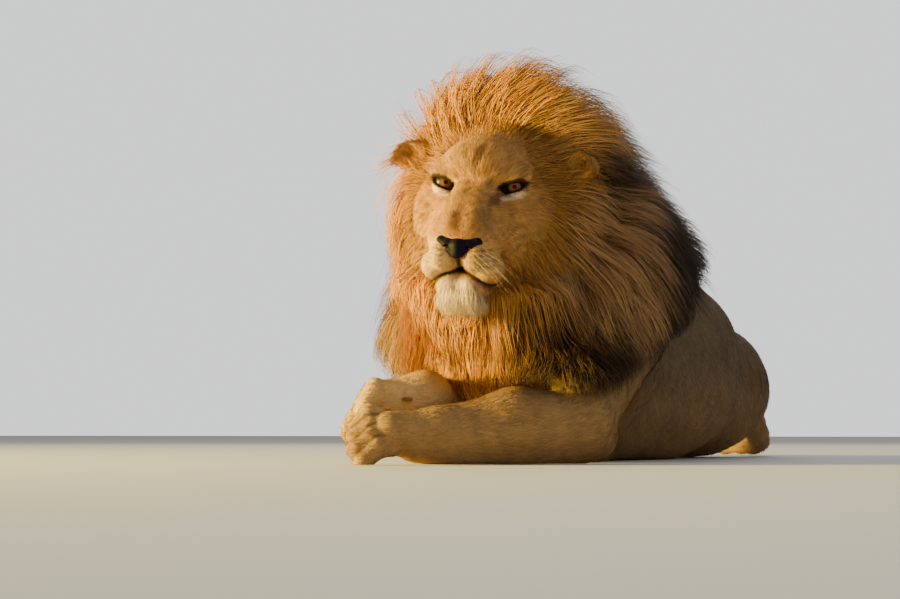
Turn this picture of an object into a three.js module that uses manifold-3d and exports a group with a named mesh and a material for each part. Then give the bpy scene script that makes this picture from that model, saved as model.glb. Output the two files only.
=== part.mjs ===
// A male lion at rest, life size, in millimetres: chest upright, hips rolled on to the left
// side, forelegs laid across in front, head up and turned a little to its left.
// The lion faces -Y with its left side at +X, and +Z is up. The origin is on the floor under
// the middle of the belly. Flesh is a smooth blend of simple masses, and each named part is a
// skin wrapped on its own masses, cut clear of the parts that it meets.
import * as THREE from "three";
import { mergeVertices } from "three/addons/utils/BufferGeometryUtils.js";
import Module from "manifold-3d";

const wasm = await Module();
wasm.setup();

// ---------------------------------------------------------------- driving sizes
const CLEARANCE = 0.35; // gap between parts that touch
const BODY_BLEND = 55; // how softly the masses of the body run together
const LIMB_BLEND = 28;
const HEAD_BLEND = 17;
const EYE_RADIUS = 20;
const LID_THICKNESS = 3.5;
const EYE_OPENING = new THREE.Vector3(20, 14, 8); // half sizes of the slit between the lids
const LIP_GROOVE = 3.2; // radius of the groove between the lips
const HEART_SHARE = 0.45; // how much of the mane's height its solid heart takes
const LOCK_TRIES = 1600; // places tried for a lock of the mane
const LOCK_HALF_WIDTH = 0.66; // as a share of the distance to the next root
const CROWN_HALF_WIDTH = 0.88; // the same, over the brow
const LOCK_FLATNESS = 0.36;
const LOCK_SINK = 24; // how deep the root of a lock is sunk in the heart
const LOCK_SIZE_RANGE = [0.85, 1.1]; // the least and the greatest size of a lock
const LOCK_SWAY = 0.18; // how far a lock may lean aside from the lie
const LOCK_FORWARD = 1.2; // how much a lock near the head faces forward

const V = (x, y, z) => new THREE.Vector3(x, y, z);
const degrees = THREE.MathUtils.degToRad;
const mix = THREE.MathUtils.lerp;
const smooth = THREE.MathUtils.smoothstep;

// The head's own frame: x to the lion's left, y out of the nose, z up, from between the eyes.
const EYES_CENTRE = V(-36, -899, 516);
const HEAD_YAW = degrees(4);
const HEAD_PITCH = degrees(-3);
const HEAD_ROLL = degrees(-5);
const headFrame = new THREE.Matrix4()
  .makeTranslation(EYES_CENTRE.x, EYES_CENTRE.y, EYES_CENTRE.z)
  .multiply(new THREE.Matrix4().makeRotationZ(Math.PI + HEAD_YAW))
  .multiply(new THREE.Matrix4().makeRotationX(HEAD_PITCH))
  .multiply(new THREE.Matrix4().makeRotationY(HEAD_ROLL));
const toHead = headFrame.clone().invert();
// A half turn about Z points y forward and x to the lion's right, so x is taken the other way.
const onHead = (x, y, z) => V(-x, y, z).applyMatrix4(headFrame);
const headTurn = new THREE.Matrix3().setFromMatrix4(headFrame);
const rollTurn = (angle) =>
  new THREE.Matrix3().setFromMatrix4(new THREE.Matrix4().makeRotationY(degrees(angle)));

// ---------------------------------------------------------------- flesh
// A Flesh holds rounded limbs and oval masses. at(p) is about how far p lies outside them, in
// millimetres, with neighbours run together over the blend length and all cut off at the floor.
class Flesh {
  constructor(blend, floor = true) {
    this.blend = blend;
    this.floor = floor;
    this.forms = [];
  }

  limb(from, fromRadius, to, toRadius) {
    const along = to.clone().sub(from);
    const lengthSquared = along.lengthSq();
    this.forms.push((p) => {
      const dot = (p.x - from.x) * along.x + (p.y - from.y) * along.y + (p.z - from.z) * along.z;
      const t = THREE.MathUtils.clamp(dot / lengthSquared, 0, 1);
      const x = p.x - from.x - t * along.x;
      const y = p.y - from.y - t * along.y;
      const z = p.z - from.z - t * along.z;
      return Math.hypot(x, y, z) - mix(fromRadius, toRadius, t);
    });
    return this;
  }

  mass(centre, radii, turn = new THREE.Matrix3()) {
    const back = turn.clone().transpose();
    const q = new THREE.Vector3();
    const smallest = Math.min(radii.x, radii.y, radii.z);
    this.forms.push((p) => {
      q.subVectors(p, centre).applyMatrix3(back).divide(radii);
      const scaled = q.length();
      const slope = q.divide(radii).length();
      return slope < 1e-9 ? -smallest : (scaled * (scaled - 1)) / slope;
    });
    return this;
  }

  add(...others) {
    for (const other of others) this.forms.push(...other.forms);
    return this;
  }

  at(p) {
    let depth = this.forms[0](p);
    for (const form of this.forms.slice(1)) {
      const d = form(p);
      const h = Math.max(this.blend - Math.abs(d - depth), 0);
      depth = Math.min(depth, d) - (h * h) / (4 * this.blend);
    }
    return this.floor ? Math.max(depth, -p.z) : depth;
  }

  // The first point of the surface, grown by grow, out from an origin within it.
  reach(origin, ray, grow = 0) {
    const p = origin.clone();
    for (let step = 0; step < 90; step++) {
      const depth = this.at(p) - (typeof grow === "function" ? grow(p) : grow);
      if (depth > -0.02) break;
      p.addScaledVector(ray, Math.max(-depth * 0.7, 0.02));
    }
    return p;
  }

  // The way out of the flesh at a point, from how the distance changes over a small step.
  outward(p, step = 2) {
    const beside = (axis, way) => this.at(p.clone().addScaledVector(axis, way * step));
    const slope = (axis) => beside(axis, 1) - beside(axis, -1);
    return V(slope(V(1, 0, 0)), slope(V(0, 1, 0)), slope(V(0, 0, 1))).normalize();
  }
}

// A closed solid from a geometry whose shared points are merged and collapsed faces dropped.
function solidOf(geometry) {
  const bare = geometry.clone();
  for (const name of Object.keys(bare.attributes))
    if (name !== "position") bare.deleteAttribute(name);
  const merged = mergeVertices(bare, 1e-3);
  const index = merged.index.array;
  const faces = [];
  for (let i = 0; i < index.length; i += 3) {
    const [a, b, c] = [index[i], index[i + 1], index[i + 2]];
    if (a !== b && b !== c && a !== c) faces.push(a, b, c);
  }
  return new wasm.Manifold(
    new wasm.Mesh({
      numProp: 3,
      vertProperties: new Float32Array(merged.attributes.position.array),
      triVerts: new Uint32Array(faces),
    }),
  );
}

function geometryOf(solid) {
  const made = solid.getMesh();
  const points = new Float32Array(made.numVert * 3);
  for (let i = 0; i < made.numVert; i++)
    points.set(made.vertProperties.subarray(i * made.numProp, i * made.numProp + 3), i * 3);
  return new THREE.BufferGeometry()
    .setAttribute("position", new THREE.BufferAttribute(points, 3))
    .setIndex(new THREE.BufferAttribute(made.triVerts, 1));
}

// Only the largest closed body of a solid is kept. Bodies that share no more than a point come
// apart once that point is merged, so the solid is made again until one is left.
function largest(solid) {
  const bodies = solid.decompose();
  if (bodies.length === 1) return solid;
  const biggest = bodies.reduce((best, body) => (body.volume() > best.volume() ? body : best));
  return largest(solidOf(geometryOf(biggest)));
}

// Two axes square to a direction, the second as near to up as it can be.
function frameOf(direction, up = V(0, 0, 1)) {
  const side = direction.clone().cross(up).normalize();
  return [side, side.clone().cross(direction)];
}

// A ray from a line that runs from one end cap (t under 0) to the other (t over 1).
function rayFrom(curve, x, y, z) {
  const t = THREE.MathUtils.clamp(y + 0.5, 0, 1);
  const tangent = curve.getTangent(t);
  const [side, rise] = frameOf(tangent);
  const ray = V(0, 0, 0)
    .addScaledVector(side, x)
    .addScaledVector(tangent, y - (t - 0.5))
    .addScaledVector(rise, z)
    .normalize();
  return [curve.getPoint(t), ray];
}

const lineThrough = (points) =>
  points.length === 2 ? new THREE.LineCurve3(...points) : new THREE.CatmullRomCurve3(points);

// Moves each point of a unit capsule out from a line until it meets the flesh, grown by grow.
function wrap(flesh, line, { around = 20, along = 10, caps = 4, grow = 0 } = {}) {
  const curve = lineThrough(line);
  const geometry = new THREE.CapsuleGeometry(1, 1, caps, around, along);
  const position = geometry.attributes.position;
  for (let i = 0; i < position.count; i++) {
    const [origin, ray] = rayFrom(curve, position.getX(i), position.getY(i), position.getZ(i));
    const p = flesh.reach(origin, ray, grow);
    if (flesh.floor && p.z < 0.2) p.z = grow === 0 ? 0 : -CLEARANCE;
    position.setXYZ(i, p.x, p.y, p.z);
  }
  return solidOf(geometry);
}

const grown = (options) => ({ ...options, grow: CLEARANCE });

// An oval solid about a centre.
function oval(centre, radii, turn = new THREE.Matrix3(), across = 14, down = 9) {
  const geometry = new THREE.SphereGeometry(1, across, down);
  geometry.scale(radii.x, radii.y, radii.z);
  geometry.applyMatrix4(new THREE.Matrix4().setFromMatrix3(turn));
  return solidOf(geometry.translate(centre.x, centre.y, centre.z));
}

// The part of a solid that lies ahead of, or behind, a plane, half a gap clear of it.
const GAP = 2 * CLEARANCE;
const REACH = 3000;
function sideOf(solid, [centre, normal], ahead) {
  const turn = new THREE.Quaternion().setFromUnitVectors(V(0, 0, ahead ? 1 : -1), normal);
  const half = new THREE.BoxGeometry(REACH, REACH, REACH).translate(0, 0, REACH / 2 + GAP / 2);
  return solid.intersect(solidOf(half.applyQuaternion(turn).translate(centre.x, centre.y, centre.z)));
}
const headward = (x, y, z) => onHead(x, y, z).sub(onHead(0, 0, 0)).normalize();
const way = (left, back, up) => V(left, back, up).normalize();

// ---------------------------------------------------------------- planes that part the pieces
const FACE_PLANE = [onHead(0, -32, 0), headward(0, 1, 0.28)]; // above the jaw no hair reaches past it
const JAW_PLANE = [onHead(0, 0, -185), headward(0, 0, 1)];
const NECK_PLANE = [onHead(0, -135, 0), way(0, 1, -0.12)]; // between the head and the neck
const CROWN_PLANE = [onHead(0, -150, 0), way(0, 1, -0.35)]; // behind the head, across the mane
const CHEST_PLANE = [V(0, -700, 350), way(0.1, 0.55, 0.8)]; // under the throat, across the mane
const FLANK_PLANE = [V(-5, -560, 380), way(1, 0, 0)]; // between the left and right of the mane

// ---------------------------------------------------------------- the named masses
const CHEST_ROLL = 8;
const WAIST_ROLL = 16;
const LOIN_ROLL = 28;
const HIP_ROLL = 60;

const torsoFlesh = new Flesh(BODY_BLEND)
  .mass(V(0, -420, 252), V(192, 370, 258), rollTurn(CHEST_ROLL))
  .mass(V(-5, -640, 235), V(130, 130, 165))
  .mass(V(8, -440, 450), V(82, 200, 82))
  .mass(V(12, -210, 215), V(180, 380, 222), rollTurn(WAIST_ROLL))
  .mass(V(18, 20, 195), V(170, 370, 200), rollTurn(LOIN_ROLL))
  .mass(V(-15, 60, 135), V(180, 330, 140))
  .mass(V(10, 390, 152), V(150, 250, 168), rollTurn(HIP_ROLL))
  .mass(V(20, 545, 132), V(112, 120, 125), rollTurn(HIP_ROLL));

const neckFlesh = new Flesh(BODY_BLEND)
  .limb(V(-60, -740, 490), 105, V(5, -480, 430), 112)
  .limb(V(-55, -770, 410), 92, V(-5, -600, 260), 140);

const headFlesh = new Flesh(HEAD_BLEND, false)
  .mass(onHead(0, -95, 7), V(106, 115, 100), headTurn)
  .mass(onHead(0, -30, 27), V(88, 75, 60), headTurn)
  .mass(onHead(0, 80, -105), V(58, 52, 46), headTurn)
  .mass(onHead(0, 10, -62), V(66, 100, 58), headTurn);
const jawFlesh = new Flesh(HEAD_BLEND, false).mass(onHead(0, 72, -188), V(50, 44, 38), headTurn);
for (const side of [-1, 1]) {
  headFlesh
    .limb(onHead(side * 15, -5, 2), 33, onHead(side * 18, 102, -74), 25)
    .limb(onHead(side * 62, 4, -38), 30, onHead(side * 93, -90, -30), 45)
    .limb(onHead(side * 48, 10, -52), 35, onHead(side * 38, 84, -105), 34)
    .mass(onHead(side * 88, -60, -62), V(51, 85, 84), headTurn)
    .mass(onHead(side * 36, 90, -134), V(42, 46, 38), headTurn)
    .mass(onHead(side * 50, 70, -150), V(30, 44, 32), headTurn)
    .mass(onHead(side * 60, -8, 25), V(32, 26, 15), headTurn);
  jawFlesh.limb(onHead(side * 50, -60, -125), 44, onHead(side * 26, 64, -176), 30);
}

const EYE_PLACE = V(65, 3, 0);
const noseFlesh = new Flesh(9, false)
  .limb(onHead(-28, 122, -102), 14, onHead(28, 122, -102), 14)
  .limb(onHead(0, 131, -103), 16, onHead(0, 134, -130), 9);

// ---------------------------------------------------------------- parts
const lion = new THREE.Group();
lion.name = "lion";
const COLOURS = {
  coat: 0xb88a55,
  mane: 0xa8662a,
  dark: 0x2a1d16,
  nose: 0x2b211f,
  eye: 0xb87a2a,
  chin: 0xd8c7a8,
};
const material = {};
const WET_ROUGHNESS = 0.1;
const HAIR_ROUGHNESS = 0.8;
for (const [name, color] of Object.entries(COLOURS)) {
  const roughness = name === "eye" ? WET_ROUGHNESS : HAIR_ROUGHNESS;
  material[name] = new THREE.MeshStandardMaterial({ color, roughness, metalness: 0 });
}

// Adds a solid as a named mesh whose own origin is the anchor, so that it can be turned there.
function part(name, solid, finish, anchor) {
  const geometry = geometryOf(largest(solidOf(geometryOf(largest(solid)))));
  geometry.translate(-anchor.x, -anchor.y, -anchor.z).computeVertexNormals();
  const mesh = new THREE.Mesh(geometry, material[finish]);
  mesh.name = name;
  mesh.position.copy(anchor);
  lion.add(mesh);
}

const TORSO_LINE = [V(-3, -640, 240), V(0, -420, 250), V(20, 0, 190), V(30, 550, 140)];
const TORSO_MESH = { around: 18, along: 11, caps: 3 };
const torso = wrap(torsoFlesh, TORSO_LINE, TORSO_MESH);
const torsoRoom = wrap(torsoFlesh, TORSO_LINE, grown(TORSO_MESH));
part("torso", torso, "coat", V(0, 0, 0));

// ---------------------------------------------------------------- head
const HEAD_LINE = [onHead(0, -110, -10), onHead(0, 88, -100)];
const HEAD_MESH = { around: 28, along: 13, caps: 4 };
let head = wrap(headFlesh, HEAD_LINE, HEAD_MESH);
const headRoom = wrap(headFlesh, HEAD_LINE, grown(HEAD_MESH));

// Each eye is a ball in a socket, behind lids that leave an almond slit.
for (const [name, side] of [["left_eye", 1], ["right_eye", -1]]) {
  const centre = onHead(side * EYE_PLACE.x, EYE_PLACE.y, EYE_PLACE.z);
  const around = (radius) => oval(centre, V(radius, radius, radius), headTurn, 11, 7);
  const slitTurn = headTurn.clone().multiply(rollTurn(side * -8));
  const slit = oval(onHead(side * EYE_PLACE.x, EYE_PLACE.y + EYE_RADIUS, -1), EYE_OPENING, slitTurn, 8, 6);
  head = head.add(around(EYE_RADIUS + LID_THICKNESS)).subtract(slit);
  head = head.subtract(around(EYE_RADIUS + CLEARANCE));
  part(name, around(EYE_RADIUS), "eye", centre);
}

const NOSE_LINE = [onHead(-22, 118, -104), onHead(22, 118, -104)];
const NOSE_MESH = { around: 10, along: 5, caps: 2 };
let nose = wrap(noseFlesh, NOSE_LINE, NOSE_MESH);
head = head.subtract(wrap(noseFlesh, NOSE_LINE, grown(NOSE_MESH)));
for (const side of [-1, 1]) {
  const nostrilTurn = headTurn.clone().multiply(rollTurn(side * 30));
  const nostril = oval(onHead(side * 21, 139, -110), V(11, 12, 6), nostrilTurn, 8, 5);
  nose = nose.subtract(nostril);
}
part("nose", nose, "nose", onHead(0, 118, -98));

// The line of the mouth, from one corner round the front to the other.
const HALF_MOUTH = [[80, 48, -176], [64, 92, -176], [36, 130, -164]];
const MOUTH_FRONT = [0, 141, -151];
const mouthPoints = [
  ...HALF_MOUTH.map(([x, y, z]) => [-x, y, z]),
  MOUTH_FRONT,
  ...HALF_MOUTH.toReversed(),
];
const mouthCurve = new THREE.CatmullRomCurve3(mouthPoints.map(([x, y, z]) => onHead(x, y, z)));
const groove = solidOf(closedTube(mouthCurve, LIP_GROOVE, 10, 4));

const JAW_LINE = [onHead(0, -30, -140), onHead(0, 68, -182)];
const JAW_MESH = { around: 14, along: 4, caps: 3 };
const jaw = wrap(jawFlesh, JAW_LINE, JAW_MESH);
const jawRoom = wrap(jawFlesh, JAW_LINE, grown(JAW_MESH));

// A tube along a curve with pointed ends.
function closedTube(curve, radius, steps, sides) {
  const geometry = new THREE.CapsuleGeometry(1, 1, 2, sides, steps);
  const position = geometry.attributes.position;
  for (let i = 0; i < position.count; i++) {
    const [x, y, z] = [position.getX(i), position.getY(i), position.getZ(i)];
    const t = THREE.MathUtils.clamp(y + 0.5, 0, 1);
    const tangent = curve.getTangent(t);
    const [side, rise] = frameOf(tangent);
    const p = curve.getPoint(t);
    p.addScaledVector(side, x * radius).addScaledVector(rise, z * radius);
    p.addScaledVector(tangent, (y + 0.5 - t) * radius);
    position.setXYZ(i, p.x, p.y, p.z);
  }
  return geometry;
}

// Each ear is a rounded cup that opens forward and out.
const earRooms = [];
for (const [name, side] of [["left_ear", 1], ["right_ear", -1]]) {
  const earTurn = headTurn.clone().multiply(
    new THREE.Matrix3().setFromMatrix4(new THREE.Matrix4().makeRotationZ(degrees(side * 22))),
  );
  const outer = (extra) =>
    oval(onHead(side * 157, -104, 37), V(52 + extra, 22 + extra, 41 + extra), earTurn, 11, 8);
  const hollow = oval(onHead(side * 171, -84, 39), V(38, 27, 30), earTurn, 9, 6);
  part(name, outer(0).subtract(hollow).subtract(headRoom), "coat", onHead(side * 110, -104, 44));
  earRooms.push(outer(CLEARANCE));
}

part("head", sideOf(head.subtract(groove), NECK_PLANE, false), "coat", EYES_CENTRE);
const freeJaw = sideOf(jaw.subtract(headRoom).subtract(groove), NECK_PLANE, false);
part("lower_jaw", freeJaw, "chin", onHead(0, -30, -140));

const NECK_LINE = [V(-55, -750, 455), V(0, -540, 360)];
const NECK_MESH = { around: 14, along: 4, caps: 2 };
const neck = wrap(neckFlesh, NECK_LINE, NECK_MESH);
const neckRoom = wrap(neckFlesh, NECK_LINE, grown(NECK_MESH));
part("neck", sideOf(neck, NECK_PLANE, true).subtract(torsoRoom), "coat", V(0, -540, 360));

// ---------------------------------------------------------------- legs
// A leg is a chain of lengths, each wrapped on its own flesh and cut clear of those before it.
function leg(names, flesh, lines, clear, meshes) {
  const rooms = [];
  names.forEach((name, i) => {
    const size = { around: 12, along: 4, caps: 3, ...(meshes[i] || {}) };
    let solid = wrap(flesh[i], lines[i], size);
    for (const room of [...clear, ...rooms]) solid = solid.subtract(room);
    part(name, solid, "coat", lines[i][0]);
    rooms.push(wrap(flesh[i], lines[i], grown(size)));
  });
  return rooms;
}

// A paw: a hand from the wrist to the knuckles and four toes side by side that bend down.
function pawFlesh(wrist, wristRadius, knuckles, across, toe, toeLength, toeDrop) {
  const flesh = new Flesh(9).limb(wrist, wristRadius, knuckles, wristRadius * 0.98);
  const ahead = knuckles.clone().sub(wrist).normalize();
  for (let i = 0; i < 4; i++) {
    const place = (i - 1.5) / 1.5;
    const shorter = 1 - 0.16 * place * place;
    const root = knuckles.clone().addScaledVector(across, place * toe * 1.6);
    const middle = root.clone().addScaledVector(ahead, toeLength * 0.6 * shorter);
    const tip = root.clone().addScaledVector(ahead, toeLength * shorter).add(toeDrop);
    flesh.limb(root, toe, middle, toe).limb(middle, toe, tip, toe * 0.9);
  }
  return flesh;
}
const PAW_MESH = { around: 16, along: 4, caps: 4 };

const elbowLeft = V(134, -834, 72);
const wristLeft = V(-72, -1008, 56);
const knucklesLeft = V(-150, -1070, 58);
const leftArm = new Flesh(LIMB_BLEND)
  .mass(V(140, -600, 290), V(85, 130, 150))
  .limb(V(150, -600, 250), 88, elbowLeft, 64)
  .limb(elbowLeft, 64, V(158, -796, 44), 42);
const midForearmLeft = V(38, -918, 69);
const leftForearm = new Flesh(LIMB_BLEND)
  .limb(elbowLeft, 66, midForearmLeft, 71)
  .limb(midForearmLeft, 71, wristLeft, 51);
const pawAcrossLeft = V(-0.35, 0.45, 0.82).normalize();
const leftPaw = pawFlesh(wristLeft, 48, knucklesLeft, pawAcrossLeft, 24, 62, V(0, -8, -22));
const leftForeleg = leg(
  ["left_upper_arm", "left_forearm", "left_forepaw"],
  [leftArm, leftForearm, leftPaw],
  [
    [V(150, -620, 260), V(136, -820, 82)],
    [V(122, -844, 68), wristLeft],
    [wristLeft, V(-165, -1082, 56)],
  ],
  [torsoRoom, neckRoom],
  [{ around: 14, along: 5 }, { along: 5 }, PAW_MESH],
);

const elbowRight = V(-195, -585, 76);
const wristRight = V(-133, -932, 124);
const knucklesRight = V(-190, -985, 117);
const rightArm = new Flesh(LIMB_BLEND)
  .mass(V(-135, -570, 290), V(85, 130, 150))
  .limb(V(-150, -590, 250), 88, elbowRight, 66);
const rightForearm = new Flesh(LIMB_BLEND).limb(elbowRight, 68, wristRight, 48);
const pawAcrossRight = V(0.5, -0.45, 0.6).normalize();
const rightPaw = pawFlesh(wristRight, 46, knucklesRight, pawAcrossRight, 22, 62, V(-4, -6, -36));
const rightForeleg = leg(
  ["right_upper_arm", "right_forearm", "right_forepaw"],
  [rightArm, rightForearm, rightPaw],
  [
    [V(-150, -590, 260), V(-188, -588, 90)],
    [elbowRight, wristRight],
    [wristRight, V(-206, -998, 112)],
  ],
  [torsoRoom, neckRoom, ...leftForeleg],
  [{ around: 14, along: 5 }, { along: 5 }, PAW_MESH],
);

const kneeRight = V(-270, 255, 165);
const hockRight = V(-400, 520, 66);
const toesRight = V(-462, 350, 42);
const rightThigh = new Flesh(LIMB_BLEND).limb(V(-5, 430, 200), 112, kneeRight, 78);
const rightShank = new Flesh(LIMB_BLEND).limb(kneeRight, 72, hockRight, 40);
const rightFoot = pawFlesh(hockRight, 38, toesRight, V(1, -0.3, 0).normalize(), 19, 52, V(0, 0, -12));
const HIND_PAW_MESH = { around: 14, along: 4, caps: 4 };
const rightHindleg = leg(
  ["right_thigh", "right_shank", "right_hindpaw"],
  [rightThigh, rightShank, rightFoot],
  [
    [V(-60, 390, 195), V(-255, 262, 170)],
    [kneeRight, hockRight],
    [hockRight, V(-472, 330, 42)],
  ],
  [torsoRoom],
  [{}, {}, HIND_PAW_MESH],
);

const kneeLeft = V(-160, 200, 80);
const hockLeft = V(-345, 372, 48);
const toesLeft = V(-402, 205, 42);
const leftThigh = new Flesh(LIMB_BLEND).limb(V(30, 420, 110), 100, kneeLeft, 76);
const leftShank = new Flesh(LIMB_BLEND).limb(kneeLeft, 66, hockLeft, 38);
const leftFoot = pawFlesh(hockLeft, 36, toesLeft, V(1, -0.3, 0).normalize(), 19, 52, V(0, 0, -12));
leg(
  ["left_thigh", "left_shank", "left_hindpaw"],
  [leftThigh, leftShank, leftFoot],
  [
    [V(-40, 330, 95), V(-150, 210, 82)],
    [V(-165, 205, 78), hockLeft],
    [hockLeft, V(-408, 185, 42)],
  ],
  [torsoRoom, ...rightHindleg],
  [{}, {}, HIND_PAW_MESH],
);

// ---------------------------------------------------------------- tail
const TAIL_POINTS = [
  V(55, 600, 165),
  V(72, 700, 75),
  V(60, 790, 32),
  V(-20, 890, 25),
  V(-150, 945, 23),
  V(-300, 950, 21),
  V(-440, 905, 20),
];
const tailCurve = new THREE.CatmullRomCurve3(TAIL_POINTS);
const TAIL_ROOT_RADIUS = 40;
const TAIL_END_RADIUS = 17;
function tailFlesh(from, to, steps = 5) {
  const flesh = new Flesh(10);
  const radius = (t) => mix(TAIL_ROOT_RADIUS, TAIL_END_RADIUS, Math.sqrt(t));
  for (let i = 0; i < steps; i++) {
    const [a, b] = [mix(from, to, i / steps), mix(from, to, (i + 1) / steps)];
    flesh.limb(tailCurve.getPoint(a), radius(a), tailCurve.getPoint(b), radius(b));
  }
  return flesh;
}
const TAIL_SPLITS = [0, 0.4, 0.7, 1];
const TAIL_MESH = { around: 8, along: 6, caps: 2 };
let tailRoom = torsoRoom;
["tail_base", "tail_middle", "tail_end"].forEach((name, i) => {
  const [from, to] = [TAIL_SPLITS[i], TAIL_SPLITS[i + 1]];
  const line = [0, 1, 2, 3].map((k) => tailCurve.getPoint(mix(from + 0.03, to - 0.03, k / 3)));
  const flesh = tailFlesh(from, to);
  part(name, wrap(flesh, line, TAIL_MESH).subtract(tailRoom), "coat", line[0]);
  tailRoom = wrap(flesh, line, grown(TAIL_MESH));
});
const tuftFlesh = new Flesh(14)
  .limb(V(-440, 905, 26), 24, V(-500, 870, 30), 30)
  .limb(V(-500, 870, 30), 30, V(-565, 820, 18), 12);
const TUFT_LINE = [V(-460, 895, 28), V(-530, 848, 26)];
const tuft = wrap(tuftFlesh, TUFT_LINE, { around: 9, along: 5, caps: 3 });
part("tail_tuft", tuft.subtract(tailRoom), "dark", TUFT_LINE[0]);

// ---------------------------------------------------------------- mane
// Where the mane grows: 1 on it, 0 off it, over the flesh of head, neck and trunk.
const MANE_EDGE_Y = -480; // on the shoulder, at this height, the mane ends
const MANE_EDGE_Z = 245;
const MANE_EDGE_SLOPE = 0.41; // the edge climbs this steeply towards the back
const EDGE_SOFTNESS = 70;
const FACE_SOFTNESS = 40;
const UNDER_JAW = 65; // how far forward the mane runs under the jaw
// The hairline, from the brow down past the cheeks, in the head's own frame.
const faceEdge = (z) => -95 + 0.279 * (105 - z) + UNDER_JAW * smooth(-z, 160, 200);
function onMane(p) {
  const q = p.clone().applyMatrix4(toHead);
  const behindFace = smooth(faceEdge(q.z) - q.y, 0, FACE_SOFTNESS);
  const aboveEdge = smooth(p.z - MANE_EDGE_Z - MANE_EDGE_SLOPE * (p.y - MANE_EDGE_Y), 0, EDGE_SOFTNESS);
  return behindFace * aboveEdge;
}

// Each guide: a place on the flesh, the way that hair runs there, its length, how high the
// mane stands off the flesh, and how far apart its locks grow.
const GUIDES = [
  [onHead(0, -95, 105), way(0.4, 0.3, 0.8), 140, 100, 40],
  [onHead(65, -95, 85), way(0.72, 0.4, 0.45), 140, 95, 46],
  [onHead(-65, -95, 85), way(0, 0.3, 0.9), 140, 100, 40],
  [onHead(-115, -100, 60), way(-0.5, 0.3, 0.75), 125, 90, 46],
  [onHead(-130, -80, -20), way(-0.1, 0.1, -0.95), 115, 60, 62],
  [onHead(-125, -60, -90), way(0.05, -0.05, -0.98), 150, 70, 66],
  [onHead(-70, -30, -195), way(0.02, -0.1, -0.98), 165, 80, 66],
  [onHead(0, 20, -220), way(0, -0.15, -0.98), 140, 80, 62],
  [onHead(125, -60, -20), way(0.75, 0.45, -0.35), 140, 90, 66],
  [onHead(100, -50, -140), way(0.45, 0.3, -0.8), 160, 85, 70],
  [V(-20, -600, 590), way(0.25, 0.8, 0.3), 150, 85, 78],
  [V(20, -430, 540), way(0.15, 0.9, 0.05), 150, 65, 98],
  [V(190, -430, 330), way(0.1, 0.6, -0.78), 110, 50, 96],
  [V(60, -200, 440), way(0.15, 0.95, -0.2), 130, 40, 98],
  [V(110, -640, 400), way(0.3, 0.65, -0.65), 165, 85, 84],
  [V(190, -600, 270), way(0.05, 0.25, -0.95), 115, 65, 84],
  [V(-60, -840, 260), way(0, 0, -0.99), 165, 75, 74],
  [V(0, -770, 220), way(0, 0.05, -0.99), 130, 75, 74],
  [V(110, -740, 220), way(0.05, 0.1, -0.99), 120, 75, 76],
  [V(-120, -700, 260), way(0, 0, -0.99), 150, 75, 80],
  [V(-150, -640, 400), way(-0.15, 0.3, -0.9), 160, 75, 86],
  [V(-190, -430, 330), way(-0.15, 0.8, -0.6), 140, 60, 98],
  [V(-60, -250, 430), way(-0.15, 0.95, -0.15), 130, 45, 98],
];
const GUIDE_SPREAD = 95;
const FAR_WEIGHT = 1e-9; // what a guide still weighs however far off it is
function hairAt(p) {
  const run = V(0, 0, 0);
  const sums = [0, 0, 0];
  let total = 0;
  for (const [place, direction, ...sizes] of GUIDES) {
    const weight = Math.exp(-p.distanceToSquared(place) / (2 * GUIDE_SPREAD ** 2)) + FAR_WEIGHT;
    run.addScaledVector(direction, weight);
    sizes.forEach((value, i) => (sums[i] += value * weight));
    total += weight;
  }
  const [length, height, spacing] = sums.map((value) => value / total);
  return { run: run.normalize(), length, height, spacing };
}

// The heart of the mane: the flesh, and the thick hang of hair under the jaw and at the throat.
const maneFlesh = new Flesh(BODY_BLEND)
  .add(torsoFlesh, neckFlesh, headFlesh, jawFlesh, leftArm, rightArm)
  .limb(V(-72, -825, 380), 56, V(-88, -775, 200), 44)
  .limb(V(-20, -810, 360), 58, V(25, -770, 205), 46);
const UNDER_FLESH = 14; // off the mane its heart runs this deep inside the flesh
const heartDepth = (p) => mix(-UNDER_FLESH, HEART_SHARE * hairAt(p).height, onMane(p));
const MANE_LINE = [V(5, -330, 300), V(-38, -795, 490)];
const maneCurve = lineThrough(MANE_LINE);
let mane = wrap(maneFlesh, MANE_LINE, { around: 18, along: 8, caps: 5, grow: heartDepth });

// A number from 0 to 1 that looks random but is the same at every build.
let seed = 7;
function chance() {
  seed = (seed * 16807) % 2147483647;
  return seed / 2147483647;
}

// A point moved out until it stands at least so high over the flesh of the mane.
function raised(p, height) {
  const short = height * onMane(p) - maneFlesh.at(p);
  return short > 0 ? p.addScaledVector(maneFlesh.outward(p), short) : p;
}

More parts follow.
